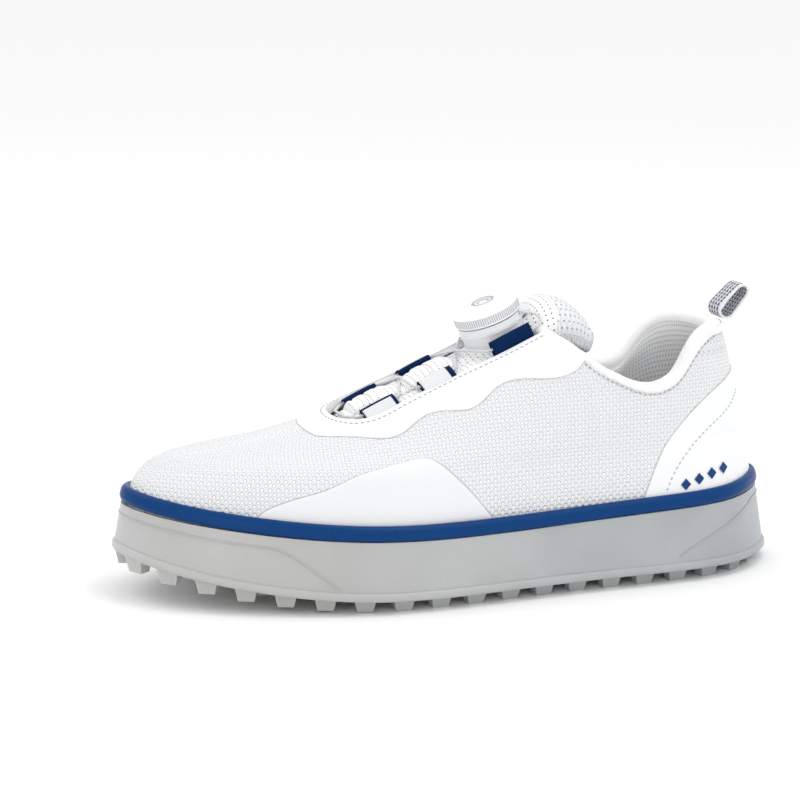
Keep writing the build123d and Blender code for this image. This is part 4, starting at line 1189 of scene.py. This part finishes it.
# ------------------------------------------------------------------ heel pull tab
lean = radians(TAB_LEAN)
tab_along = np.array((cos(lean), 0, sin(lean)))
tab_across = np.array((-sin(lean), 0, cos(lean)))
tab_origin = np.array((TAB_HINGE[0], 0, TAB_HINGE[1]))
half_depth = TAB_DEPTH / 2 - TAB_WALL / 2
slot_line = []
reach = TAB_LENGTH - TAB_WALL
for k in range(13):
    turn = -pi / 2 + pi * k / 12
    slot_line.append((reach - TAB_WALL / 2 - half_depth + half_depth * cos(turn) * 0.92,
                      half_depth * sin(turn) * 0.8))
for k in range(13):
    turn = pi / 2 + pi * k / 12
    slot_line.append((half_depth - TAB_WALL / 2 + half_depth * cos(turn), half_depth * sin(turn)))
slot_line.append(slot_line[0])
slot_line = even(slot_line, 0.7)
tab_rings = []
for a, b in slot_line:
    ring = []
    for j in range(13):
        w = (j / 12 - 0.5) * TAB_WIDTH
        curl = 0.25 * (2 * j / 12 - 1) ** 2
        ring.append(tab_origin + tab_along * a + tab_across * (b - curl * np.sign(b)) + np.array((0, w, 0)))
    tab_rings.append(ring)
tab = profile_mesh("pull_tab_webbing", tab_rings, TAB_WEB)
for item in tab.data.uv_layers[0].data:
    item.uv.y = item.uv.y - TAB_WIDTH / 200
solid = tab.modifiers.new("thickness", "SOLIDIFY")
solid.thickness, solid.offset = 0.001, 0
bevel = tab.modifiers.new("edge", "BEVEL")
bevel.width, bevel.segments = 0.0003, 2
ridden(tab, "pull_tab", "webbing_white", "heel_pull_tab")

# ------------------------------------------------------------------ CAD nodes that stay
CAD_LOOKS = {
    "outsole_cup": RUBBER, "midsole_foam": FOAM, "shank_plate": DIAL_GREY, "insole_board": FOAM,
    "sockliner": LINING,
    "heel_counter": FOAM, "toe_puff": FOAM, "throat_mesh": TONGUE_MESH, "side_marks": MARK_BLUE,
    "dial_seat": DIAL_WHITE, "dial_housing": DIAL_WHITE, "dial_screw": STEEL, "lace_spool": DIAL_GREY,
    "lace_winding": LACE, "pawl_disc": DIAL_GREY, "knob_bushing": DIAL_GREY, "dial_knob": KNOB,
    "knob_badge": BADGE, "tab_anchor": TAB_WEB,
}
for node, look in CAD_LOOKS.items():
    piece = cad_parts[node]
    piece.data.materials.clear()
    piece.data.materials.append(look)

lace_cord = bpy.data.objects.new("lace_cord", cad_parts["lace"].data.copy())
bpy.context.scene.collection.objects.link(lace_cord)
lace_cord.data.materials.clear()
lace_cord.data.materials.append(LACE)
lifted(lace_cord, (0.0545, 0, 0), (0.049, 0, 0), "lace_white", "lace")

# ------------------------------------------------------------------ studio
floor_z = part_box("outsole_cup")[0].z
floor_mesh = bpy.data.meshes.new("floor")
corners = [(a * FLOOR_HALF, b * FLOOR_HALF, floor_z) for a, b in ((-1, -1), (1, -1), (1, 1), (-1, 1))]
floor_mesh.from_pydata(corners, [], [(0, 1, 2, 3)])
floor = bpy.data.objects.new("floor", floor_mesh)
bpy.context.scene.collection.objects.link(floor)
floor_mesh.materials.append(Look("floor_white", (0.93, 0.93, 0.93), 0.9).mat)

world = bpy.data.worlds.new("studio")
bpy.context.scene.world = world
world.use_nodes = True
world.node_tree.nodes["Background"].inputs[0].default_value = (1, 1, 1, 1)
world.node_tree.nodes["Background"].inputs[1].default_value = 1.0
bpy.context.scene.view_settings.view_transform = "Standard"


def area_light(name, place, size, power, target=(0.02, 0, 0.05)):
    light = bpy.data.lights.new(name, "AREA")
    light.shape, light.size, light.energy = "DISK", size, power
    lamp = bpy.data.objects.new(name, light)
    lamp.location = place
    lamp.rotation_mode = "QUATERNION"
    lamp.rotation_quaternion = (Vector(target) - Vector(place)).to_track_quat("-Z", "Y")
    bpy.context.scene.collection.objects.link(lamp)


area_light("key", (-0.5, 0.9, 1.3), 0.9, 3.0)
area_light("rim", (0.9, -0.5, 1.1), 0.8, 2.5)
area_light("front", (1.0, 1.2, 0.35), 0.8, 1.2)
area_light("top", (-0.35, 0.15, 1.5), 0.5, 3.0)

turn, lift, distance = radians(20), radians(12), 1.09407
target = Vector((0.17678 - HALF_LENGTH / 1000, 0, 0.0802))
back = Vector((sin(turn) * cos(lift), cos(turn) * cos(lift), sin(lift)))
camera_data = bpy.data.cameras.new("camera")
camera_data.lens, camera_data.sensor_width = 113.4, 36.0
camera = bpy.data.objects.new("camera", camera_data)
camera.location = target + back * distance
camera.rotation_mode = "QUATERNION"
camera.rotation_quaternion = (-back).to_track_quat("-Z", "Y") @ Quaternion((0, 0, 1), radians(0.91))
bpy.context.scene.collection.objects.link(camera)
bpy.context.scene.camera = camera
